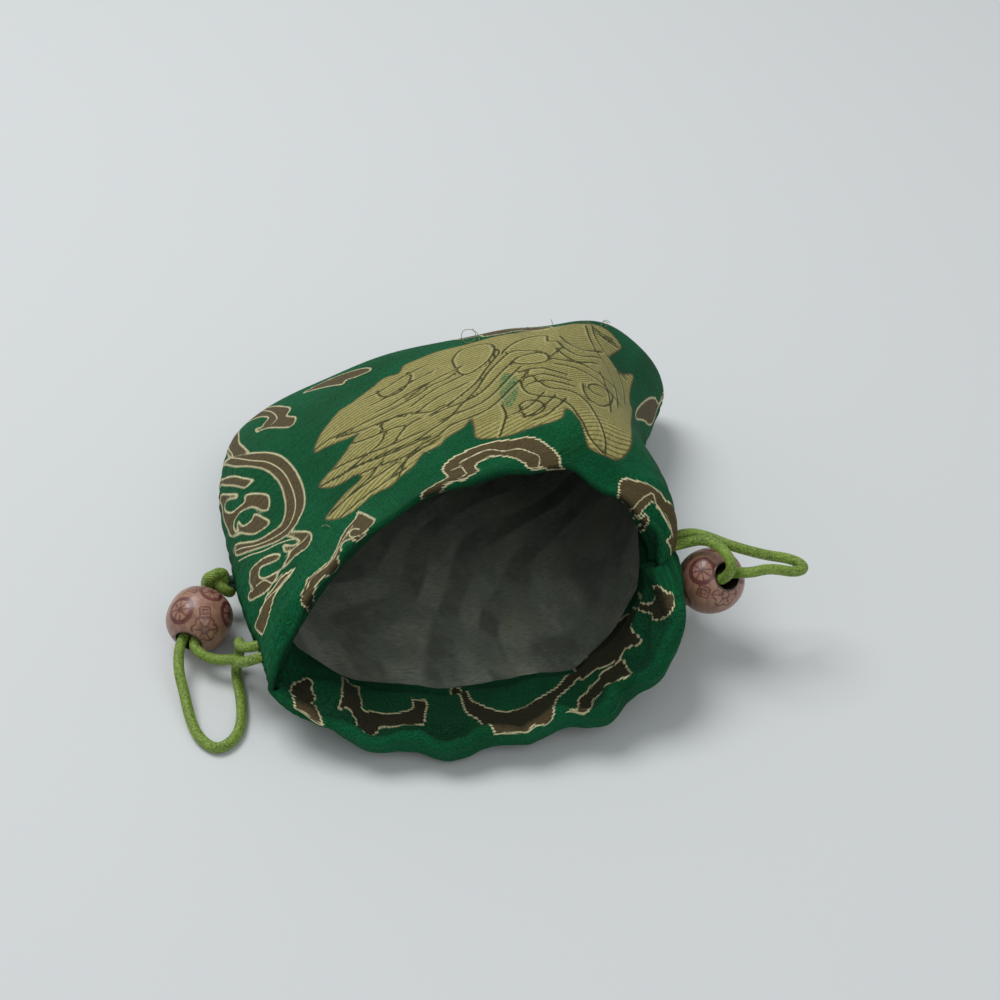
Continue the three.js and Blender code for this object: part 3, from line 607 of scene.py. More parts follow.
def plyTree():
    # threads laid round a path, as a solid
    tree = bpy.data.node_groups.new("laidThreads", "GeometryNodeTree")
    face = tree.interface
    face.new_socket("Geometry", in_out="INPUT", socket_type="NodeSocketGeometry")
    for name, kind, value in (("Threads", "NodeSocketInt", 5), ("Lay radius", "NodeSocketFloat", 0.0006),
                              ("Thread radius", "NodeSocketFloat", 0.0005),
                              ("Turn length", "NodeSocketFloat", 0.008)):
        face.new_socket(name, in_out="INPUT", socket_type=kind).default_value = value
    face.new_socket("Material", in_out="INPUT", socket_type="NodeSocketMaterial")
    face.new_socket("Geometry", in_out="OUTPUT", socket_type="NodeSocketGeometry")
    n = Nodes(tree)
    given = n.new("NodeGroupInput").outputs
    curve = n.new("GeometryNodeMeshToCurve", {0: given["Geometry"]}).outputs[0]
    curve = n.new("GeometryNodeResampleCurve", {"Curve": curve, "Length": 0.0004}, mode="LENGTH")
    copies = n.new("GeometryNodeDuplicateElements", {"Geometry": curve.outputs[0],
                   "Amount": given["Threads"]}, domain="SPLINE")
    length = n.new("GeometryNodeSplineParameter").outputs["Length"]
    turns = n.math("DIVIDE", length, given["Turn length"])
    phase = n.math("DIVIDE", copies.outputs["Duplicate Index"], given["Threads"])
    angle = n.math("MULTIPLY", n.math("ADD", turns, phase), 2 * math.pi)
    normal = n.new("GeometryNodeInputNormal").outputs[0]
    tangent = n.new("GeometryNodeInputTangent").outputs[0]
    other = n.new("ShaderNodeVectorMath", {0: tangent, 1: normal}, operation="CROSS_PRODUCT")
    parts = []
    for axis, function in ((normal, "COSINE"), (other.outputs[0], "SINE")):
        size = n.math("MULTIPLY", n.math(function, angle), given["Lay radius"])
        scaled = n.new("ShaderNodeVectorMath", {0: axis}, operation="SCALE")
        n.put(scaled.inputs["Scale"], size)
        parts.append(scaled.outputs[0])
    offset = n.new("ShaderNodeVectorMath", {0: parts[0], 1: parts[1]}, operation="ADD")
    laid = n.new("GeometryNodeSetPosition", {"Geometry": copies.outputs[0],
                 "Offset": offset.outputs[0]})
    ring = n.new("GeometryNodeCurvePrimitiveCircle", {"Resolution": 7,
                 "Radius": given["Thread radius"]})
    tube = n.new("GeometryNodeCurveToMesh", {"Curve": laid.outputs[0],
                 "Profile Curve": ring.outputs[0], "Fill Caps": True})
    soft = n.new("GeometryNodeSetShadeSmooth", {"Geometry": tube.outputs[0]})
    whole = n.new("GeometryNodeRealizeInstances", {"Geometry": soft.outputs[0]})
    dressed = n.new("GeometryNodeSetMaterial", {"Geometry": whole.outputs[0],
                    "Material": given["Material"]})
    out = n.new("NodeGroupOutput")
    tree.links.new(dressed.outputs[0], out.inputs["Geometry"])
    return tree


laidThreads = plyTree()


def laidCord(name, path, material, **settings):
    paths = path if isinstance(path, list) else [path]
    starts = np.cumsum([0] + [len(line) for line in paths])
    edges = [(start + i, start + i + 1) for start, line in zip(starts, paths)
             for i in range(len(line) - 1)]
    mesh = bpy.data.meshes.new(name)
    mesh.from_pydata(np.vstack(paths).tolist(), edges, [])
    carrier = bpy.data.objects.new(name + "Path", mesh)
    bpy.context.scene.collection.objects.link(carrier)
    modifier = carrier.modifiers.new("laid", "NODES")
    modifier.node_group = laidThreads
    for item in laidThreads.interface.items_tree:
        if item.in_out == "INPUT" and item.name in settings:
            modifier[item.identifier] = settings[item.name]
        elif item.in_out == "INPUT" and item.name == "Material":
            modifier[item.identifier] = material
    graph = bpy.context.evaluated_depsgraph_get()
    made = bpy.data.meshes.new_from_object(carrier.evaluated_get(graph), depsgraph=graph)
    made.name = name
    bpy.data.objects.remove(carrier)
    obj = bpy.data.objects.new(name, made)
    bpy.context.scene.collection.objects.link(obj)
    return obj


def strandExit(side, kind):
    end = np.array([-1.0 if side == "left" else 1.0])
    t = fromRim("front", np.full((1, 1), exitPlaces[kind]), end)[0]
    place, other = seam(side, t)[0], seam("right" if side == "left" else "left", t)[0]
    return place, unit(place - other)


def beadFrame(side):
    (x, y, z), hole = beadPlaces[side]
    place = strandExit(side, "short")[0]
    return np.array((place[0] + x, place[1] + y, z)), unit(np.array(hole))


def strandPath(side, kind):
    place, out = strandExit(side, kind)
    centre, axis = beadFrame(side)
    acrossHole = unit(np.cross((0, 0, 1), axis))
    outer = np.sign(acrossHole @ out) * (1 if kind == "loop" else -1)
    acrossHole = acrossHole * outer * beadSize["pitch"] / 2
    half = beadSize["length"] / 2
    points = [place - out * 0.0012, place + out * cordDiameter / 2]
    for x, y, z in strandPoints[f"{side}_{kind}"]:
        points.append((place[0] + x / 1000, place[1] + y / 1000, z / 1000))
    for distance in (half + cordDiameter / 2, half / 2, -half / 2, -half - pouch["gap"]):
        points.append(centre + axis * distance + acrossHole)
    return eased(smoothPath(points), 45)


cords = {}
for side in ("left", "right"):
    for kind in ("short", "loop"):
        path = strandPath(side, kind)
        name = f"{side}{kind.title()}Strand"
        cords[name] = laidCord(name, path, satin, **{
            "Threads": 12, "Lay radius": 0.00086, "Thread radius": 0.00025, "Turn length": 0.0052})
        cords[name + "Path"] = path
        print(name, "made")


# Printed wooden beads. The print is a few spoked wheels, flowers and squares, each at a
# direction from the bead's middle; ink is the distance to the nearest printed line in mm.
prints = {
    "left": [
        ("wheel", (-0.45, -0.42, 0.79), 0.44), ("square", (0.32, -0.52, 0.79), 0.16),
        ("flower", (0.3, -0.87, 0.38), 0.42), ("wheel", (0.42, 0.25, 0.87), 0.36),
        ("wheel", (0.95, -0.1, 0.3), 0.4), ("flower", (-0.95, 0.15, 0.2), 0.4),
        ("wheel", (-0.5, -0.8, -0.3), 0.36), ("flower", (-0.2, 0.8, 0.55), 0.38),
        ("square", (-0.1, 0.3, 0.95), 0.15), ("wheel", (0.4, 0.75, -0.5), 0.4),
    ],
    "right": [
        ("wheel", (-0.35, -0.45, 0.82), 0.42), ("flower", (0.35, -0.9, 0.25), 0.42),
        ("square", (-0.3, -0.85, 0.35), 0.16), ("wheel", (0.85, -0.1, 0.5), 0.4),
        ("flower", (-0.8, 0.3, 0.5), 0.4), ("wheel", (0.1, 0.55, 0.83), 0.4),
        ("wheel", (0.3, -0.5, -0.8), 0.42), ("flower", (0.75, 0.6, -0.3), 0.38),
        ("wheel", (-0.85, -0.45, -0.25), 0.36),
    ],
}


def printDistance(kind, x, y, radius, r):
    # x, y on the bead's surface about the print's middle, in mm
    far = np.hypot(x, y)
    angle = np.arctan2(y, x)
    if kind == "square":
        box = np.maximum(np.abs(x), np.abs(y))
        return np.minimum(np.abs(box - radius), np.abs(box - radius * 0.45)) - 0.15
    count = 8 if kind == "wheel" else 6
    spoke = np.abs((angle / (2 * np.pi) * count + 0.5) % 1 - 0.5) * 2 * np.pi / count * far
    inside = np.where((far < radius) & (far > radius * 0.12), spoke - 0.15, 9)
    if kind == "wheel":
        ring = np.abs(far - radius * 0.88) - radius * 0.16
        return np.minimum(np.minimum(ring, inside), far - radius * 0.14)
    petal = np.abs(far - radius * (0.72 + 0.26 * np.abs(np.cos(angle * 3)))) - 0.19
    return np.minimum(np.minimum(petal, inside), np.abs(far - radius * 0.3) - 0.12)


def beadObject(side):
    centre, axis = beadFrame(side)
    radius, length = beadSize["diameter"] / 2, beadSize["length"]
    steps, sides = 72, 150
    y = length * (np.linspace(0, 1, steps) - 0.5)
    share = np.abs(y) / (length / 2 + pouch["gap"])
    r = radius * (1 - share ** 2.4) ** (1 / 2.4)
    bore = beadSize["bore"] / 2
    lined = np.linspace(0.2, 1, 4) * length / 2
    y = np.concatenate([-lined, y, lined[::-1]])
    r = np.concatenate([np.full(4, bore), r, np.full(4, bore)])
    first = unit(np.cross(axis, (0, 0, 1)))
    second = np.cross(axis, first)
    angle = np.linspace(0, 2 * np.pi, sides, endpoint=False)
    ring = np.cos(angle)[:, None] * first + np.sin(angle)[:, None] * second
    rel = y[:, None, None] * axis + r[:, None, None] * ring[None]
    vertices = (centre + rel).reshape(-1, 3)
    rows = len(y)
    index = np.arange(rows * sides).reshape(rows, sides)
    after = np.roll(index, -1, axis=1)
    faces = np.stack([index[:-1], after[:-1], after[1:], index[1:]], -1).reshape(-1, 4)
    obj = meshOf(f"bead{side.title()}", vertices, faces, bead)
    way = unit(rel.reshape(-1, 3))
    ink = np.full(len(way), 9.0)
    for kind, middle, size in prints[side]:
        middle = unit(np.array(middle))
        east = unit(np.cross((0.2, 0.1, 1), middle))
        north = np.cross(middle, east)
        facing = way @ middle
        turn = np.arccos(np.clip(facing, -1, 1)) * radius * 1000
        flat = way - facing[:, None] * middle
        flat = flat / np.maximum(np.linalg.norm(flat, axis=1, keepdims=True), 1e-6)
        found = printDistance(kind, turn * (flat @ east), turn * (flat @ north),
                              size * radius * 1000, turn)
        ink = np.where(turn < size * radius * 1000 * 1.6, np.minimum(ink, found), ink)
    addAttribute(obj, "ink", ink)
    # distance from the bore, which carries the painted shade in the hole
    flatness = np.linalg.norm(rel - (rel @ axis)[..., None] * axis, axis=-1).ravel()
    addAttribute(obj, "bore", (flatness - bore) * 1000)
    return obj


tailWays = {"left": [(1, 0.3, 0.12), (0.9, 0.05, -0.25)],
            "right": [(0.2, 1, -0.4), (-0.3, 0.9, 0.1)]}
knotBehindBead, knotScale = 0.0036, 0.00106


def knotObject(side):
    # stands in for a knot: a closed curve with three lobes, with cut ends from its middle
    centre, axis = beadFrame(side)
    middle = centre - axis * (beadSize["length"] / 2 + knotBehindBead)
    first = unit(np.cross(axis, (0, 0, 1)))
    second = np.cross(axis, first)
    t = np.linspace(0, 2 * np.pi, 160)
    path = (middle + knotScale * ((np.sin(t) + 2 * np.sin(2 * t))[:, None] * first
                              + (np.cos(t) - 2 * np.cos(2 * t))[:, None] * second
                              - 1.15 * np.sin(3 * t)[:, None] * axis))
    knot = laidCord(f"knot{side.title()}", path, satin, **{
        "Threads": 12, "Lay radius": 0.0009, "Thread radius": 0.00028, "Turn length": 0.0052})
    tails = []
    for way in tailWays[side]:
        way = unit(np.array(way))
        tail = smoothPath([middle, middle + way * 0.003, middle + way * 0.0058])
        # the cut ends wear the satin with painted shade
        tails.append(laidCord(f"knot{side.title()}Tail{len(tails) + 1}", tail, paintedShadeSatin, **{
            "Threads": 8, "Lay radius": 0.0006, "Thread radius": 0.0004,
            "Turn length": 0.0075}))
    return knot, tails


for side in ("left", "right"):
    made = beadObject(side)
    knot, tails = knotObject(side)
    for piece, node in ((made, f"bead_{side}"), (knot, f"knot_{side}")):
        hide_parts(node)
    for piece in (made, knot, *tails):
        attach(piece, "root")
    for kind in ("short", "loop"):
        name = f"{side}{kind.title()}Strand"
        path = cords[name + "Path"]
        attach(cords[name], "root")
        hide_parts(f"{side}_{kind}_strand")


def casingPath(side):
    # round the mouth between the hem's two layers, and back to the slit it came in by
    w = 0.99 * np.sin(np.linspace(-np.pi / 2, np.pi / 2, 80))
    w = w if side == "left" else -w
    distance = casingPlaces[side]
    deep = pouch["wall"] + hemRoom(distance) / 2
    points = []
    for panel, columns in (("front", w), ("back", w[::-1])):
        t = fromRim(panel, np.full((1, 80), distance), columns)[0]
        points.extend(cloth(panel, columns, t, deep))
    return smoothPath(points, 0.0008)


casingPlaces = {"left": 0.006, "right": 0.0104}
for side in ("left", "right"):
    made = laidCord(f"casingCord{side.title()}", casingPath(side), satin, **{
        "Threads": 6, "Lay radius": 0.00062, "Thread radius": 0.00044, "Turn length": 0.0075})
    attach(made, "root")
    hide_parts(f"casing_cord_{side}")
print("cords and beads made")


# The two brocade panels: outer face, rolled rim and the hem turned in behind it
def panelGrid(panel, columns, wallRows, hemRows, rollRows, hemWidth):
    w = columnsOf(columns)
    edgeWave = 0.0004 * np.sin(w * 11 + 1) + 0.0003 * np.sin(w * 27)
    hem = np.full((1, columns), pouch["hem"])
    top = fromRim(panel, hem, w)[0]
    share = np.linspace(0, 1, wallRows, endpoint=False) ** 1.15
    bottom = pouch["bottomLift"] / pouch["length"]

    def wallPoints(depth):
        t = share[:, None] * top[None, :]
        near = np.maximum(1 - t / (3 * pouch["bottomRadius"] / pouch["length"]), 0)
        return cloth(panel, w[None, :], t + depth * bottom * near ** 2, depth)

    outDistance = np.linspace(pouch["hem"], 0, hemRows)
    hemW = np.array([inSlit(panel, w, d) for d in outDistance])
    t = np.array([fromRim(panel, np.full((1, columns), d), w)[0] for d in outDistance])
    faceOut = cloth(panel, hemW, t, 0)
    backOut = cloth(panel, hemW, t, pouch["wall"])
    inDistance = np.linspace(0, 1, hemRows)[:, None] * (hemWidth + edgeWave)[None, :]
    tIn = fromRim(panel, inDistance, w)
    hemWIn = np.array([inSlit(panel, w, d.mean()) for d in inDistance])
    depth = 2 * pouch["wall"] + hemRoom(inDistance)
    if panel == "front":
        depth = np.minimum(depth, pouch["frontHemDepth"])
    drop = np.clip((inDistance - pouch["hemDropFrom"]) / pouch["hemDropOver"], 0, 1)
    depth = depth + pouch["hemDrop"] * drop
    thickness = pouch["foldThick"][panel]
    opened = np.clip(inDistance / pouch["foldOpens"], 0, 1)
    depth = thickness + (depth - thickness) * opened * opened * (3 - 2 * opened)
    faceIn = cloth(panel, hemWIn, tIn, depth)
    backIn = cloth(panel, hemWIn, tIn, depth - thickness / 2)
    outer, inner = cloth(panel, w, 1, 0), cloth(panel, w, 1, thickness)
    middle, out = (outer + inner) / 2, unit(outer - inner)
    beyond = cloth(panel, w, 1, thickness / 2) - cloth(
        panel, w, fromRim(panel, np.full((1, columns), thickness), w)[0], thickness / 2)
    beyond = unit(beyond - dot(beyond, out) * out)
    angle = np.linspace(0, np.pi, rollRows + 2)[1:-1, None, None]

    def roll(radius):
        return middle + radius * (out * np.cos(angle) + beyond * np.sin(angle))

    face = np.concatenate([wallPoints(0), faceOut, roll(thickness / 2), faceIn])
    back = np.concatenate([wallPoints(pouch["wall"]), backOut, roll(thickness / 4),
                           backIn])
    around = np.pi / 2 * thickness * 1000
    y = np.concatenate([share * 95, 110 - outDistance * 1000,
                        110 + np.linspace(0, around, rollRows + 2)[1:-1],
                        110 + around + np.linspace(0, hemWidth * 1000, hemRows)])
    inside = np.concatenate([np.zeros(len(share) + hemRows), np.linspace(0, 1, rollRows) ** 2,
                             np.ones(hemRows)])
    return w, face, back, y, inside


# The figures, charted in the camera's picture where they show, in pixels, and on the cloth
# itself where they don't, in millimetres from the panel's middle and its bottom seam
chart = {
    "frontBrown": [
        [(216, 463), (230, 458), (248, 453), (266, 452), (280, 455), (291, 464), (299.5, 477),
         (304.5, 492), (304.5, 506), (300, 517), (293, 529), (280, 540), (263, 547), (248, 552),
         (236, 556), (235, 545), (246, 542), (258, 539.7), (271, 532), (281, 524), (285, 512),
         (284.6, 500.7), (281, 487), (274.6, 477.5), (264.7, 470), (249.8, 466.7), (233, 466.7),
         (216.6, 471.7)],
        [(223, 447.6), (219, 449), (226.5, 437.7), (238, 426), (251, 416), (263, 409.5),
         (273, 406), (283, 406), (289.5, 407), (290.4, 409.5), (287, 415), (290.4, 416),
         (296, 417), (294.5, 422.8), (289.5, 427), (281, 427.7), (271, 427.7), (263, 429.4),
         (257, 432), (255.6, 428.6), (262, 427), (263, 424.4), (268, 417.8), (259.7, 417),
         (249.8, 421), (241.5, 427.7), (239, 436), (239.8, 442.7), (244.8, 447.6), (248, 453),
         (230, 458)],
        [(216.6, 484), (225, 478), (234.8, 475.8), (243, 477.5), (251, 479), (254, 480.8),
         (249.8, 484), (244, 488), (233, 485.8), (225, 485.8), (216.6, 489)],
        [(220, 497), (228, 494), (237, 494), (237, 498), (231.5, 499), (225.7, 502.4),
         (225, 509), (228, 512), (233, 511.5), (239.8, 505.7), (244.8, 501.5), (244, 496.6),
         (248, 494), (258, 493), (268, 495), (269.7, 502.4), (268, 509.8), (261, 510.7),
         (253, 507.4), (243, 510.7), (236.5, 517), (234, 524), (235.7, 530.6), (241.5, 533),
         (233, 537), (228, 530.6), (223, 517), (220, 505.7)],
        [(238, 520.6), (243, 525.6), (251, 520.6), (254.7, 514), (263, 517), (269.7, 521.4),
         (266, 527), (254.7, 534), (244.8, 534), (238, 530.6)],
        [(249.8, 571), (254.7, 565), (263, 558), (273, 554), (279.6, 554), (279.6, 558),
         (274.6, 561.5), (266, 565), (260.5, 568), (259, 574.7), (263, 578), (271, 574.7),
         (279.6, 569.8), (286, 566), (293, 558), (299.5, 553), (307.8, 546.5), (312, 536.6),
         (308.6, 531.6), (299.5, 531), (289.5, 531.6), (283, 535), (293, 538), (299.5, 541.6),
         (293, 545), (283, 545), (285, 552), (289.5, 553), (278, 574.7), (271, 586),
         (264.7, 593), (256, 598), (249.8, 601), (248, 596), (249.8, 591), (253, 589.7),
         (249, 583), (249.8, 578)],
        [(254.7, 626), (258, 617), (263, 605), (266, 597), (273, 588), (281, 577), (288, 572),
         (295, 568), (289.5, 577), (280, 587), (274.6, 596), (271, 608), (268, 619.5),
         (263, 634), (258, 632)],
        [(356, 517), (347.6, 527), (341, 537), (336, 549), (331, 559), (322.7, 566),
         (312.8, 574.7), (306, 581), (302.8, 589.7), (302, 598), (303.6, 606), (306, 612),
         (308.6, 613), (312, 603), (314.4, 594.6), (316, 588), (321, 581), (327.7, 576),
         (336, 571), (339, 565), (338.5, 556), (341, 549), (344, 542), (349, 539.7),
         (356, 541), (362.5, 537), (367.5, 530.6), (373, 524), (370.8, 517), (363, 513),
         (357.5, 511.5)],
        [(440, 492.5), (439.5, 482), (442, 470), (449, 460), (461, 453), (476.5, 446),
         (495, 441), (512.7, 439), (526, 436.6), (535, 437.4), (543.7, 441.7), (554, 449.5),
         (561, 460), (565, 472), (561, 472.7), (550.5, 470), (542, 468.4), (533, 470),
         (526, 465), (517.8, 460), (505.8, 456.4), (493.7, 456.4), (483, 460), (475.6, 466.7),
         (472, 475), (464, 480.5), (455.8, 480.5), (449, 484), (445.5, 491)],
        [(619.4, 482), (624.6, 478), (636.6, 480.5), (648.7, 484), (659, 491), (667.6, 501),
         (674.5, 513), (678.8, 525), (683, 537), (684, 551), (681.4, 566.6), (676, 567.4),
         (671, 558), (671, 551), (666, 541), (671, 535.6), (669.4, 527), (664, 516.6),
         (657, 508), (648.7, 504.6), (642.7, 506), (643.5, 515), (647, 525), (643.5, 527),
         (638.4, 518.4), (631.5, 511.5), (623, 503), (618.6, 492.5)],
        [(636, 411.6), (640, 405), (648.7, 398), (655.6, 398), (659, 403), (667.6, 391),
         (666, 399.5), (659, 406), (654, 420), (648.7, 425), (642, 420), (636, 418.5)],
        [(303, 393), (313, 390), (330, 386), (343, 384), (346, 380), (358, 376),
         (371, 370), (366, 367.5), (345, 373), (330, 379), (313, 387)],
    ],
    "frontGold": [
        [(314.4, 451.8), (319.4, 436), (327.7, 424.4), (339, 411), (349, 404.5), (362.5, 394.6),
         (374, 386), (384, 378), (399, 373), (404, 365), (420.6, 358), (437, 351.5), (455, 347),
         (481.7, 340), (516, 332.8), (550, 327.5), (585, 323.5), (600, 326), (620, 344),
         (618.6, 349.6), (609, 356.5), (612.5, 363), (621, 373.7), (633, 374.6), (630.6, 387.5),
         (629.8, 403), (632, 411.6), (631.5, 430.5), (629.8, 447.8), (621, 458), (614, 459),
         (605.7, 455.5), (595, 451), (588.4, 446), (585, 434), (579.8, 420), (573, 411.6),
         (565, 408), (562.6, 416.8), (550.5, 422), (533, 427), (516, 433), (499, 437.4),
         (478, 438), (474.8, 430.5), (473, 422), (471, 416.8), (464, 427), (447, 437.4),
         (438.8, 446), (424, 452.6), (417, 461), (410.6, 469), (400.7, 475.8), (390.7, 485.8),
         (374, 494), (365.8, 500.7), (354, 510.7), (342.6, 517), (329.4, 519.8), (326, 517),
         (336, 504), (346, 492.4), (357.5, 482.5), (362, 476), (357.5, 474), (349, 478.5),
         (341, 483.5), (332.7, 486.6), (321, 487.4), (319.4, 484), (327.7, 474), (337.6, 462.6),
         (346, 451), (354, 439.4), (359, 432.7), (349, 437.7), (336, 442.7), (326, 446.8)],
    ],
    "frontGreen": [
        [(502, 373), (516, 378), (518, 392), (512, 406), (503, 405), (500, 390)],
    ],
    "frontLines": [
        [(221.6, 464), (248, 460), (266, 461.7), (278, 467.5), (286, 475.8), (293, 490.8),
         (295.4, 504), (293, 517), (286, 529), (271, 539), (254.7, 545.5), (236.5, 550.5)],
        [(231, 440), (228, 446), (233, 456)],
        [(262, 411), (272, 412), (277, 418), (272, 424)],
        [(359, 529), (353, 529), (349, 533), (353, 537), (359, 535.5)],
        [(352, 526), (344, 538), (338, 549), (332, 561), (322, 569), (312, 578), (307, 588)],
        [(461, 461.5), (474.8, 454.7), (488.5, 449.5), (504, 451), (519.5, 448.6), (533, 453),
         (540, 460), (542, 466.7)],
        [(452, 470), (461, 466.7), (466, 472), (461, 477)],
        [(636.6, 497.7), (645, 496), (655.6, 501), (664, 511.5), (669.4, 523.5), (672.8, 535.6)],
        [(239, 561), (250, 555), (263, 551), (275, 545), (285, 541), (293, 539)],
        [(266, 600), (276, 590), (284, 580), (290, 574)],
        [(257, 585), (265, 580), (273, 583), (282, 574)],
        [(260, 610), (268, 598), (276, 590)],
        [(286, 556), (293, 549), (303, 541), (307, 536)],
    ],
    "frontVeins": [
        [(314.4, 451), (326, 441), (342.6, 432.7), (357.5, 426), (374, 417.8), (390.7, 409.5),
         (407, 401), (420.6, 393), (432, 384.6), (445, 379.7), (455, 373)],
        [(377, 391), (380.8, 396), (390.7, 396), (400.7, 391), (407, 384.6), (411, 376),
         (407, 373)],
        [(379, 424), (387, 421), (397, 416), (409, 412.8), (419, 412.8), (432, 411),
         (440.5, 406), (448.8, 404.5), (460, 396)],
        [(377, 424), (382, 427.7), (384, 436), (379, 444), (369, 452.6), (359, 461), (349, 469),
         (339, 477.5)],
        [(394, 442.7), (400.7, 432.7), (409, 424), (420.6, 417.8)],
        [(321, 485.8), (337.6, 477.5), (354, 467.5), (374, 457.6), (394, 449), (414, 441),
         (432, 429), (448.8, 417.8), (464, 402), (476.5, 389), (486.8, 374), (499, 361),
         (512.7, 351), (526, 350.5), (540, 351), (548.8, 358)],
        [(329, 515.6), (342.6, 502), (356, 489), (367.5, 479), (375.8, 469), (382, 461)],
        [(399, 475.8), (404, 464), (409, 456), (415.6, 449), (424, 442.7), (437, 436),
         (448.8, 426)],
        [(452, 360), (459, 351), (473, 346), (486.8, 343.6), (494.6, 347), (490, 358),
         (480, 366.8), (469.6, 373), (461, 373.7), (455.8, 368.5), (452, 360)],
        [(492, 346), (499, 351), (495, 358), (485, 370), (476.5, 382), (464, 392.7), (450, 403),
         (430, 415)],
        [(502, 353), (509, 346), (523, 339), (536.8, 336), (547, 336), (548.8, 341), (557, 341),
         (562.6, 346), (557, 351), (550.5, 356.5)],
        [(511, 361.7), (519.5, 356.5), (533, 353), (543.7, 353), (548.8, 358), (543.7, 361.7),
         (531.6, 363.4), (519.5, 363.4), (511, 361.7)],
        [(550.5, 358), (564, 360), (579.8, 363.4), (593.6, 370), (605.7, 379), (616, 389),
         (624.6, 401), (630.6, 411.6)],
        [(555.7, 363.4), (573, 366.8), (588.4, 373.7), (600.5, 382), (610.8, 392.7), (621, 406)],
        [(533, 375.4), (540, 382), (550.5, 387.5), (564, 389), (578, 394), (588.4, 403),
         (595, 413), (602, 427), (605.7, 441), (605.7, 453)],
        [(521, 379), (523, 387.5), (531.6, 394), (543.7, 396), (557, 397.8), (567.8, 403),
         (576, 411.6), (583, 422), (588.4, 434), (595, 444), (602, 451)],
        [(583, 384), (585, 392.7), (592, 401), (602, 406), (610.8, 403), (612.5, 396),
         (605.7, 389), (595, 384), (588.4, 385.8), (593.6, 392.7), (602, 396)],
        [(592, 325.5), (595, 336), (602, 348), (609, 358), (617.7, 370), (626, 379)],
        [(586, 326), (590, 338), (597, 352), (606, 365)],
        [(502, 405), (506, 414), (504, 424), (500, 436)],
        [(519, 405), (528, 400), (541, 402), (545, 408), (536, 414), (524, 415), (519, 405)],
    ],
    "backBrown": [
        [(292, 684), (299.5, 681), (307.8, 677.5), (312.8, 691), (316, 705.7), (321, 717),
         (319.4, 729.8), (307.8, 725.6), (299.5, 717), (293, 710.7), (292, 694)],
        [(336, 679), (349, 682.5), (365.8, 687.5), (390.7, 694), (415.6, 699), (427, 700.8),
         (425.5, 715.7), (422, 725.6), (395.7, 726.5), (379, 729), (364, 731.4), (356, 720.7),
         (349, 709), (341, 697.4)],
        [(450, 692.5), (465, 710.7), (480, 722), (494.7, 734), (504.7, 735.6), (516, 734),
         (533, 727), (544.5, 725.6), (554, 717), (556, 705.7), (566, 691), (577.6, 679),
         (589, 666), (575, 672), (560, 683), (545, 694), (530, 703), (505, 711), (485, 706),
         (470, 697), (460, 688)],
        [(629, 676), (615.8, 681), (602.5, 691), (592.6, 702), (589, 710.7), (581, 724),
         (576, 725.6), (572.7, 715.7), (577.6, 702), (586, 692.5), (597.5, 679), (605.8, 669),
         (622, 657.6), (627, 666)],
        [(643, 593), (655.6, 594.6), (669, 593), (677, 591), (677, 599.6), (670.5, 613),
         (660.6, 620), (652, 619.5), (648, 613)],
        [(570, 665), (585, 658), (600, 640), (625, 615), (640, 610), (642, 640), (625, 650),
         (600, 668), (580, 680)],
    ],
    "backIslands": [
        [(352, 688), (374, 690), (399, 696), (412, 701), (412, 708), (399, 712), (374, 711),
         (362, 704)],
    ],
    "frontRibs": [
        # ends and middle of the first line, how many lines, and the step to the last
        [(434, 414), (474, 397), (501, 372), (514, 360), 3, (14, 12)],
        [(318, 478), (352, 460), (388, 446), (424, 430), 3, (12, 12)],
        [(336, 438), (362, 430), (392, 418), (404, 416), 2, (4, 9)],
        [(366, 398), (382, 390), (404, 376), (428, 364), 3, (10, 14)],
        [(331, 512), (352, 494), (374, 478), (398, 462), 3, (16, 12)],
        [(408, 398), (430, 382), (450, 372), (462, 366), 3, (6, 16)],
        [(560, 336), (570, 344), (584, 350), (602, 352), 3, (-4, 12)],
        [(598, 334), (606, 340), (612, 344), (618, 347), 3, (-6, -8)],
        [(520, 372), (534, 368), (552, 370), (566, 374), 3, (8, 12)],
        [(614, 364), (620, 378), (624, 392), (625, 404), 3, (-14, 8)],
        [(392, 476), (404, 462), (420, 450), (440, 438), 2, (8, 6)],
        [(534, 420), (548, 414), (560, 404), (566, 398), 3, (-22, -6)],
    ],
}

# Scrolls and leaves for the cloth that the camera doesn't see, each a figure in its own
# millimetres, then where it lies: x, y, turn in degrees, size
figures = {
    "scroll": [(-9, -2), (-6, 3), (0, 6), (7, 5), (11, 0), (10, -5), (5, -7), (1, -5), (1, -2),
               (4, -1), (6, -3), (4, -4.5), (8, -3), (7, 1), (2, 3), (-3, 1), (-5, -3), (-10, -6)],
    "leaf": [(-11, 0), (-6, 2.4), (0, 3), (6, 1.6), (11, -1), (6, -2), (0, -2.2), (-6, -1.6)],
    "cloud": [(-8, -3), (-9, 1), (-6, 3.6), (-3, 3), (-1, 6), (3, 6.4), (5, 3.5), (9, 3),
              (10, -0.5), (7, -3), (4, -2), (1, 0), (-2, -2), (-5, -4)],
    "ring": [(-9, 0), (-7.8, 4.5), (-4.5, 7.8), (0, 9), (4.5, 7.8), (7.8, 4.5), (9, 0),
             (6, 0), (5.2, 3), (3, 5.2), (0, 6), (-3, 5.2), (-5.2, 3), (-6, 0)],
}
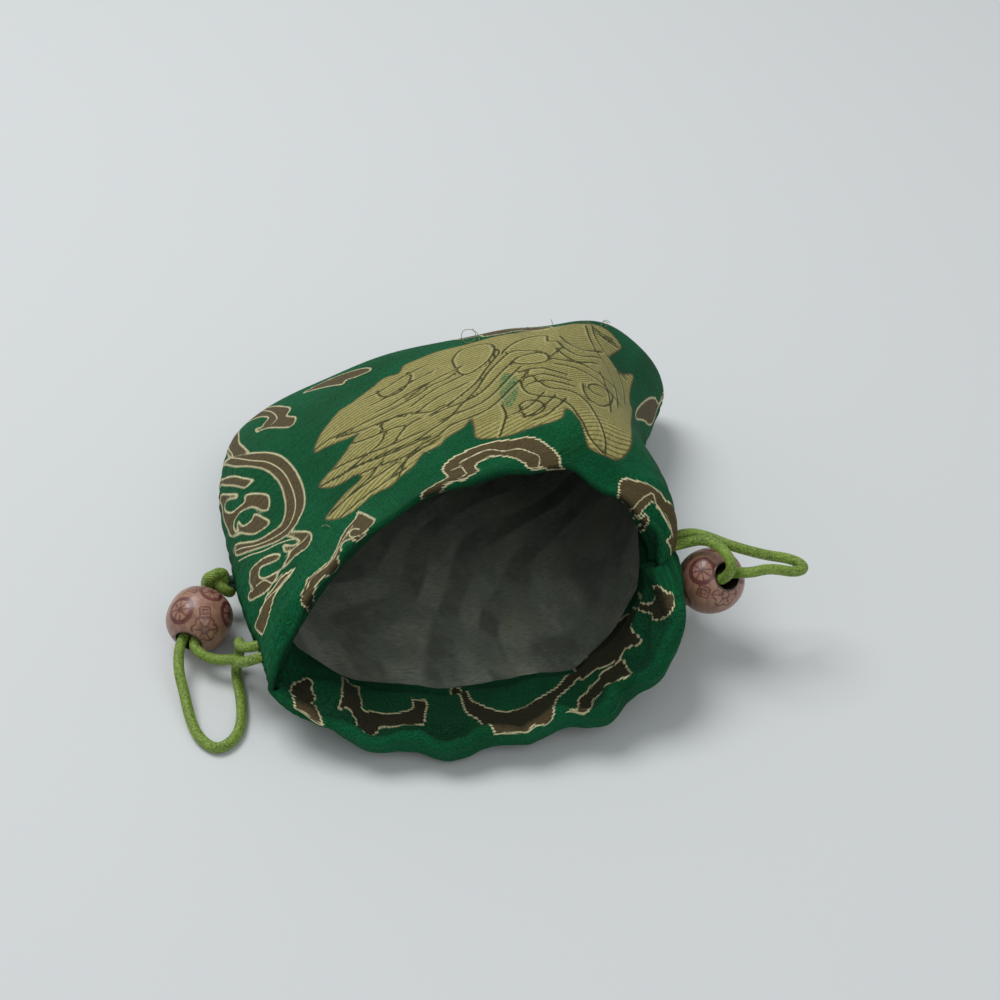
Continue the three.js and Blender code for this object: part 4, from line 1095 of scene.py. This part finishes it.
laidOut = {
    "front": [("ring", 12, 10, 180, 0.9), ("leaf", -12, 14, 160, 0.9), ("scroll", -34, 14, 200, 0.9),
              ("cloud", -10, 30, 20, 0.9), ("leaf", 30, 8, 20, 0.8)],
    "back": [("scroll", -30, 82, 0, 1), ("cloud", 0, 92, 0, 1), ("scroll", 32, 84, 180, 1),
             ("ring", -38, 52, 90, 1), ("leaf", -12, 66, 30, 1), ("scroll", 14, 58, 120, 1.1),
             ("leaf", 40, 56, 80, 1), ("cloud", -30, 26, 200, 1), ("ring", 2, 28, 0, 1.1),
             ("scroll", 36, 26, 300, 1), ("leaf", -8, 8, 170, 1), ("cloud", 24, 8, 180, 0.8),
             ("leaf", -44, 8, 20, 0.8)],
}


def rounded(points, closed, parts=4):
    points = np.array(points, float)
    around = (np.vstack([points[-1], points, points[:2]]) if closed
              else np.vstack([2 * points[0] - points[1], points, 2 * points[-1] - points[-2]]))
    found = []
    for a, b, c, d in zip(around, around[1:], around[2:], around[3:]):
        for s in np.arange(parts) / parts:
            found.append(0.5 * ((2 * b) + (c - a) * s + (2 * a - 5 * b + 4 * c - d) * s * s
                                + (3 * b - a - 3 * c + d) * s ** 3))
    if not closed:
        found.append(points[-1])
    return np.array(found)


def signedDistance(places, metric, line, closed):
    # distance in mm from each place to the line, in the cloth's own stretched measure;
    # the sign is the side of an open line, or negative inside a closed one
    a = line
    b = np.roll(line, -1, axis=0)
    if not closed:
        a, b = line[:-1], line[1:]
    keep = np.linalg.norm(b - a, axis=1) > 1e-6
    a, b = a[keep], b[keep]
    margin = 9
    low, high = line.min(0) - margin, line.max(0) + margin
    near = np.all((places > low) & (places < high), axis=1)
    found = np.full(len(places), 9.0)
    if not near.any():
        return found
    p, m = places[near], metric[near]
    best = np.full(len(p), 1e9)
    side = np.ones(len(p))
    inside = np.zeros(len(p), bool)
    for start, end in zip(a, b):
        way = end - start
        rel = p - start
        ee = m[:, 0] * way[0] ** 2 + 2 * m[:, 1] * way[0] * way[1] + m[:, 2] * way[1] ** 2
        re = (m[:, 0] * rel[:, 0] * way[0] + m[:, 1] * (rel[:, 0] * way[1] + rel[:, 1] * way[0])
              + m[:, 2] * rel[:, 1] * way[1])
        s = np.clip(re / ee, 0, 1)
        off = rel - s[:, None] * way
        d = (m[:, 0] * off[:, 0] ** 2 + 2 * m[:, 1] * off[:, 0] * off[:, 1]
             + m[:, 2] * off[:, 1] ** 2)
        closer = d < best
        best = np.where(closer, d, best)
        side = np.where(closer, np.sign(way[0] * rel[:, 1] - way[1] * rel[:, 0]), side)
        if closed:
            crosses = (start[1] > p[:, 1]) != (end[1] > p[:, 1])
            at = start[0] + (p[:, 1] - start[1]) * way[0] / (way[1] if way[1] else 1e-9)
            inside ^= crosses & (p[:, 0] < at)
    distance = np.sqrt(best)
    found[near] = np.where(inside, -distance, distance) if closed else side * distance
    return found


def withEdges(values, shape):
    # the turned-in side edges carry on the values of the first and last columns
    values = values.reshape(shape)
    return np.concatenate([values.ravel(), values[:, 0], values[:, -1]])


def paintFigures(obj, panel, grid, places, inside):
    # places are (x, y) in mm on the cloth for each vertex of the grid
    flat = places.reshape(-1, 2)
    byX = np.gradient(grid, axis=1) / np.gradient(places[..., 0], axis=1)[..., None] * 1000
    byY = np.gradient(grid, axis=0) / np.gradient(places[..., 1], axis=0)[..., None] * 1000
    metric = np.stack([np.sum(byX * byX, -1), np.sum(byX * byY, -1), np.sum(byY * byY, -1)],
                      -1).reshape(-1, 3)
    metric = np.maximum(metric, (0.05, -9, 0.05))
    normal = np.cross(byX, byY)
    if panel == "front":
        normal = -normal
    facing = np.sum(normal * (np.array(camera.location) - grid), -1).ravel() > 0
    seen = toImage(grid.reshape(-1, 3))
    shown = facing & ((inside.ravel() > 0.1) | (panel == "front"))

    rows, columns = grid.shape[:2]
    picture = seen.reshape(rows, columns, 2)
    shownAt = np.flatnonzero(shown)

    def onCloth(points):
        # the nearest place that shows, then one step to the exact one
        found = []
        for point in points:
            nearestAt = shownAt[np.argmin(np.sum((seen[shownAt] - point) ** 2, axis=1))]
            r = min(max(nearestAt // columns, 1), rows - 2)
            c = min(max(nearestAt % columns, 1), columns - 2)
            slope = np.stack([(picture[r + 1, c] - picture[r - 1, c]) / 2,
                              (picture[r, c + 1] - picture[r, c - 1]) / 2], 1)
            size = np.linalg.norm(slope, axis=0).prod()
            step = np.zeros(2)
            if abs(np.linalg.det(slope)) > 0.15 * size:
                step = np.clip(np.linalg.solve(slope, point - picture[r, c]), -2, 2)
            found.append(places[r, c] + step[0] * (places[r + 1, c] - places[r - 1, c]) / 2
                         + step[1] * (places[r, c + 1] - places[r, c - 1]) / 2)
        return np.array(found)

    def nearest(lines, closed):
        best = np.full(len(flat), 9.0)
        for line in lines:
            d = signedDistance(flat, metric, rounded(line, closed), closed)
            best = np.where(d < best, d, best) if closed else np.where(
                np.abs(d) < np.abs(best), d, best)
        return best

    charted = {key: [onCloth(line) for line in chart.get(panel + key, [])]
               for key in ("Brown", "Gold", "Green", "Islands", "Lines", "Veins")}
    for *line, count, step in chart.get(panel + "Ribs", []):
        for i in range(count):
            moved = np.array(line) + np.array(step) * i / max(count - 1, 1)
            charted["Veins"].append(onCloth(moved))
    for name, x, y, turn, size in laidOut[panel]:
        c, s = math.cos(math.radians(turn)) * size, math.sin(math.radians(turn)) * size
        charted["Brown"].append(np.array([(x + c * u - s * v, y + s * u + c * v)
                                          for u, v in figures[name]]))
    painted = {"inside": inside}
    for name in ("Brown", "Gold", "Green"):
        painted[name.lower()] = nearest(charted[name], True)
    painted["brown"] = np.maximum(painted["brown"], -nearest(charted["Islands"], True))
    for name, key in (("line", "Lines"), ("vein", "Veins")):
        painted[name + "Side"] = nearest(charted[key], False)
        painted[name + "Near"] = np.abs(painted[name + "Side"])
    for name, values in painted.items():
        addAttribute(obj, name, withEdges(values, grid.shape[:2]))


def clothSheet(name, panel, grid, back, places, material, flip):
    # the face, with its two side edges turned in
    rows, columns = grid.shape[:2]
    faces = [gridFaces(rows, columns, flip)]
    vertices = [grid.reshape(-1, 3)]
    uv = [places.reshape(-1, 2)]
    count = rows * columns
    for column, turned in ((0, flip), (columns - 1, not flip)):
        vertices.append(back[:, column])
        uv.append(places[:, column] + (0.8, 0))
        face = np.arange(rows) * columns + column
        edge = count + np.arange(rows)
        quads = np.stack([face[:-1], face[1:], edge[1:], edge[:-1]], -1)
        faces.append(quads[:, ::-1] if turned else quads)
        count += rows
    return meshOf(name, np.vstack(vertices), np.vstack(faces), material, np.vstack(uv))


sheets, sheetFaces = {}, {}
hemWidths = {"front": 0.015, "back": 0.0195}
hiddenRows = 70
for panel in ("front", "back"):
    w, face, back, y, inside = panelGrid(panel, 230, 150, 34, 9, hemWidths[panel])
    places = np.stack(np.broadcast_arrays(w[None, :] * 55, y[:, None]), -1)
    insideGrid = np.broadcast_to(inside[:, None], face.shape[:2])
    obj = clothSheet(panel + "Brocade", panel, face, back, places, brocade, panel == "front")
    paintFigures(obj, panel, face, places, insideGrid)
    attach(obj, "root")
    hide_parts(panel + "_panel")
    sheets[panel] = obj
    sheetFaces[panel] = face[:-hiddenRows].reshape(-1, 3)
    print(panel, "brocade made", len(obj.data.polygons))

# Loose threads stand off the crest and the rim: where each starts in the picture, then its
# way in pixels across and up
looseWays = [
    ((480, 341), [(0, 0), (-1, 6), (-8, 11), (-16, 10), (-18, 3), (-13, -2), (-6, 0), (-4, 7), (-7, 12)]),
    ((520, 333), [(0, 0), (3, 5), (9, 6), (14, 3)]), ((526, 332), [(0, 0), (-4, 4), (-9, 3)]),
    ((550, 328), [(0, 0), (2, 5), (0, 9)]), ((600, 327), [(0, 0), (3, 6), (8, 4), (5, 1)]),
    ((604, 329), [(0, 0), (-3, 5), (2, 9), (6, 6)]), ((590, 325), [(0, 0), (-3, 4), (-8, 4)]),
    ((312, 600), [(0, 0), (-4, -8), (-3, -18), (-5, -26)]),
    ((355, 520), [(0, 0), (5, 2), (9, 0)]), ((346, 541), [(0, 0), (-4, 3), (-9, 1)]),
    ((440, 480), [(0, 0), (-5, 2), (-9, -1)]), ((560, 468), [(0, 0), (4, -3), (9, -2)]),
    ((644, 480), [(0, 0), (3, 4), (8, 4)]), ((236, 545), [(0, 0), (-3, -4), (-2, -9)]),
    ((500, 480), [(0, 0), (2, -4), (7, -5)]), ((455, 486), [(0, 0), (3, -3), (2, -8)]),
]
grid = sheetFaces["front"]
seen, paths = toImage(grid), []
for start, ways in looseWays:
    foot = grid[np.argmin(np.sum((seen - start) ** 2, axis=1))]
    pixel = np.linalg.norm(foot - np.array(camera.location)) / focalPixels
    up = np.array((0, math.sin(math.radians(40)), math.cos(math.radians(40))))
    paths.append(smoothPath([foot + pixel * (x * np.array((1, 0, 0)) + y * up)
                             for x, y in ways], 0.0002))
looseThreads = laidCord("looseThreads", paths, cordMaterial(
    "paleThread", colour(84, 92, 62), colour(150, 150, 112)), **{
        "Threads": 1, "Lay radius": 0.0, "Thread radius": 0.00007, "Turn length": 1.0})
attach(looseThreads, "root")

# The linings show inside the mouth. Their tops lie under the hems.
for panel in ("front", "back"):
    columns, rows = 150, 110
    w = columnsOf(columns)
    top = fromRim(panel, np.full((1, columns), pouch["hem"] - pouch["liningUnderHem"]), w)[0]
    share = np.linspace(0, 1, rows)
    t = share[:, None] * top[None, :]
    depth = pouch["wall"] + pouch["gap"] + pouch["lining"]
    near = np.maximum(1 - t / (3 * pouch["bottomRadius"] / pouch["length"]), 0)
    lift = depth * pouch["bottomLift"] / pouch["length"]
    under = depth - 0.0003 * np.clip((share - 0.95) / 0.05, 0, 1)[:, None]
    face = cloth(panel, w[None, :], t + lift * near ** 2, under)
    back = cloth(panel, w[None, :], t + lift * near ** 2, under - pouch["lining"])
    places = np.stack(np.broadcast_arrays(w[None, :] * 55, (share * 97)[:, None]), -1)
    obj = clothSheet(panel + "Lining", panel, face, back, places, liningCloth, panel == "back")
    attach(obj, "root")
    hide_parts(panel + "_lining")
    sheets[panel + "Lining"] = obj

print("cloth made")

# Floor and light
floorMaterial, nodes, links = newMaterial("paleTable")
nodes["Principled BSDF"].inputs["Base Color"].default_value = colour(208, 212, 213)
nodes["Principled BSDF"].inputs["Roughness"].default_value = 0.8
floor = meshOf("floor", [(-3, -3, 0), (3, -3, 0), (3, 3, 0), (-3, 3, 0)], [(0, 1, 2, 3)],
               floorMaterial)


def areaLight(name, place, size, power, target=(0.01, 0, 0.02), tint=(1, 1, 1)):
    light = bpy.data.lights.new(name, "AREA")
    light.shape = "DISK"
    light.size = size
    light.energy = power
    light.color = tint
    obj = bpy.data.objects.new(name, light)
    obj.location = place
    obj.rotation_euler = (Vector(target) - Vector(place)).to_track_quat("-Z", "Y").to_euler()
    bpy.context.scene.collection.objects.link(obj)


areaLight("keyLight", (-0.35, 0.25, 0.9), 0.6, 6)
areaLight("fillLight", (0.5, -0.7, 0.8), 0.9, 2.2)
world = bpy.data.worlds.new("world")
world.use_nodes = True
world.node_tree.nodes["Background"].inputs[0].default_value = (0.96, 0.98, 1, 1)
world.node_tree.nodes["Background"].inputs[1].default_value = 0.42
bpy.context.scene.world = world
bpy.context.scene.view_settings.view_transform = "Standard"
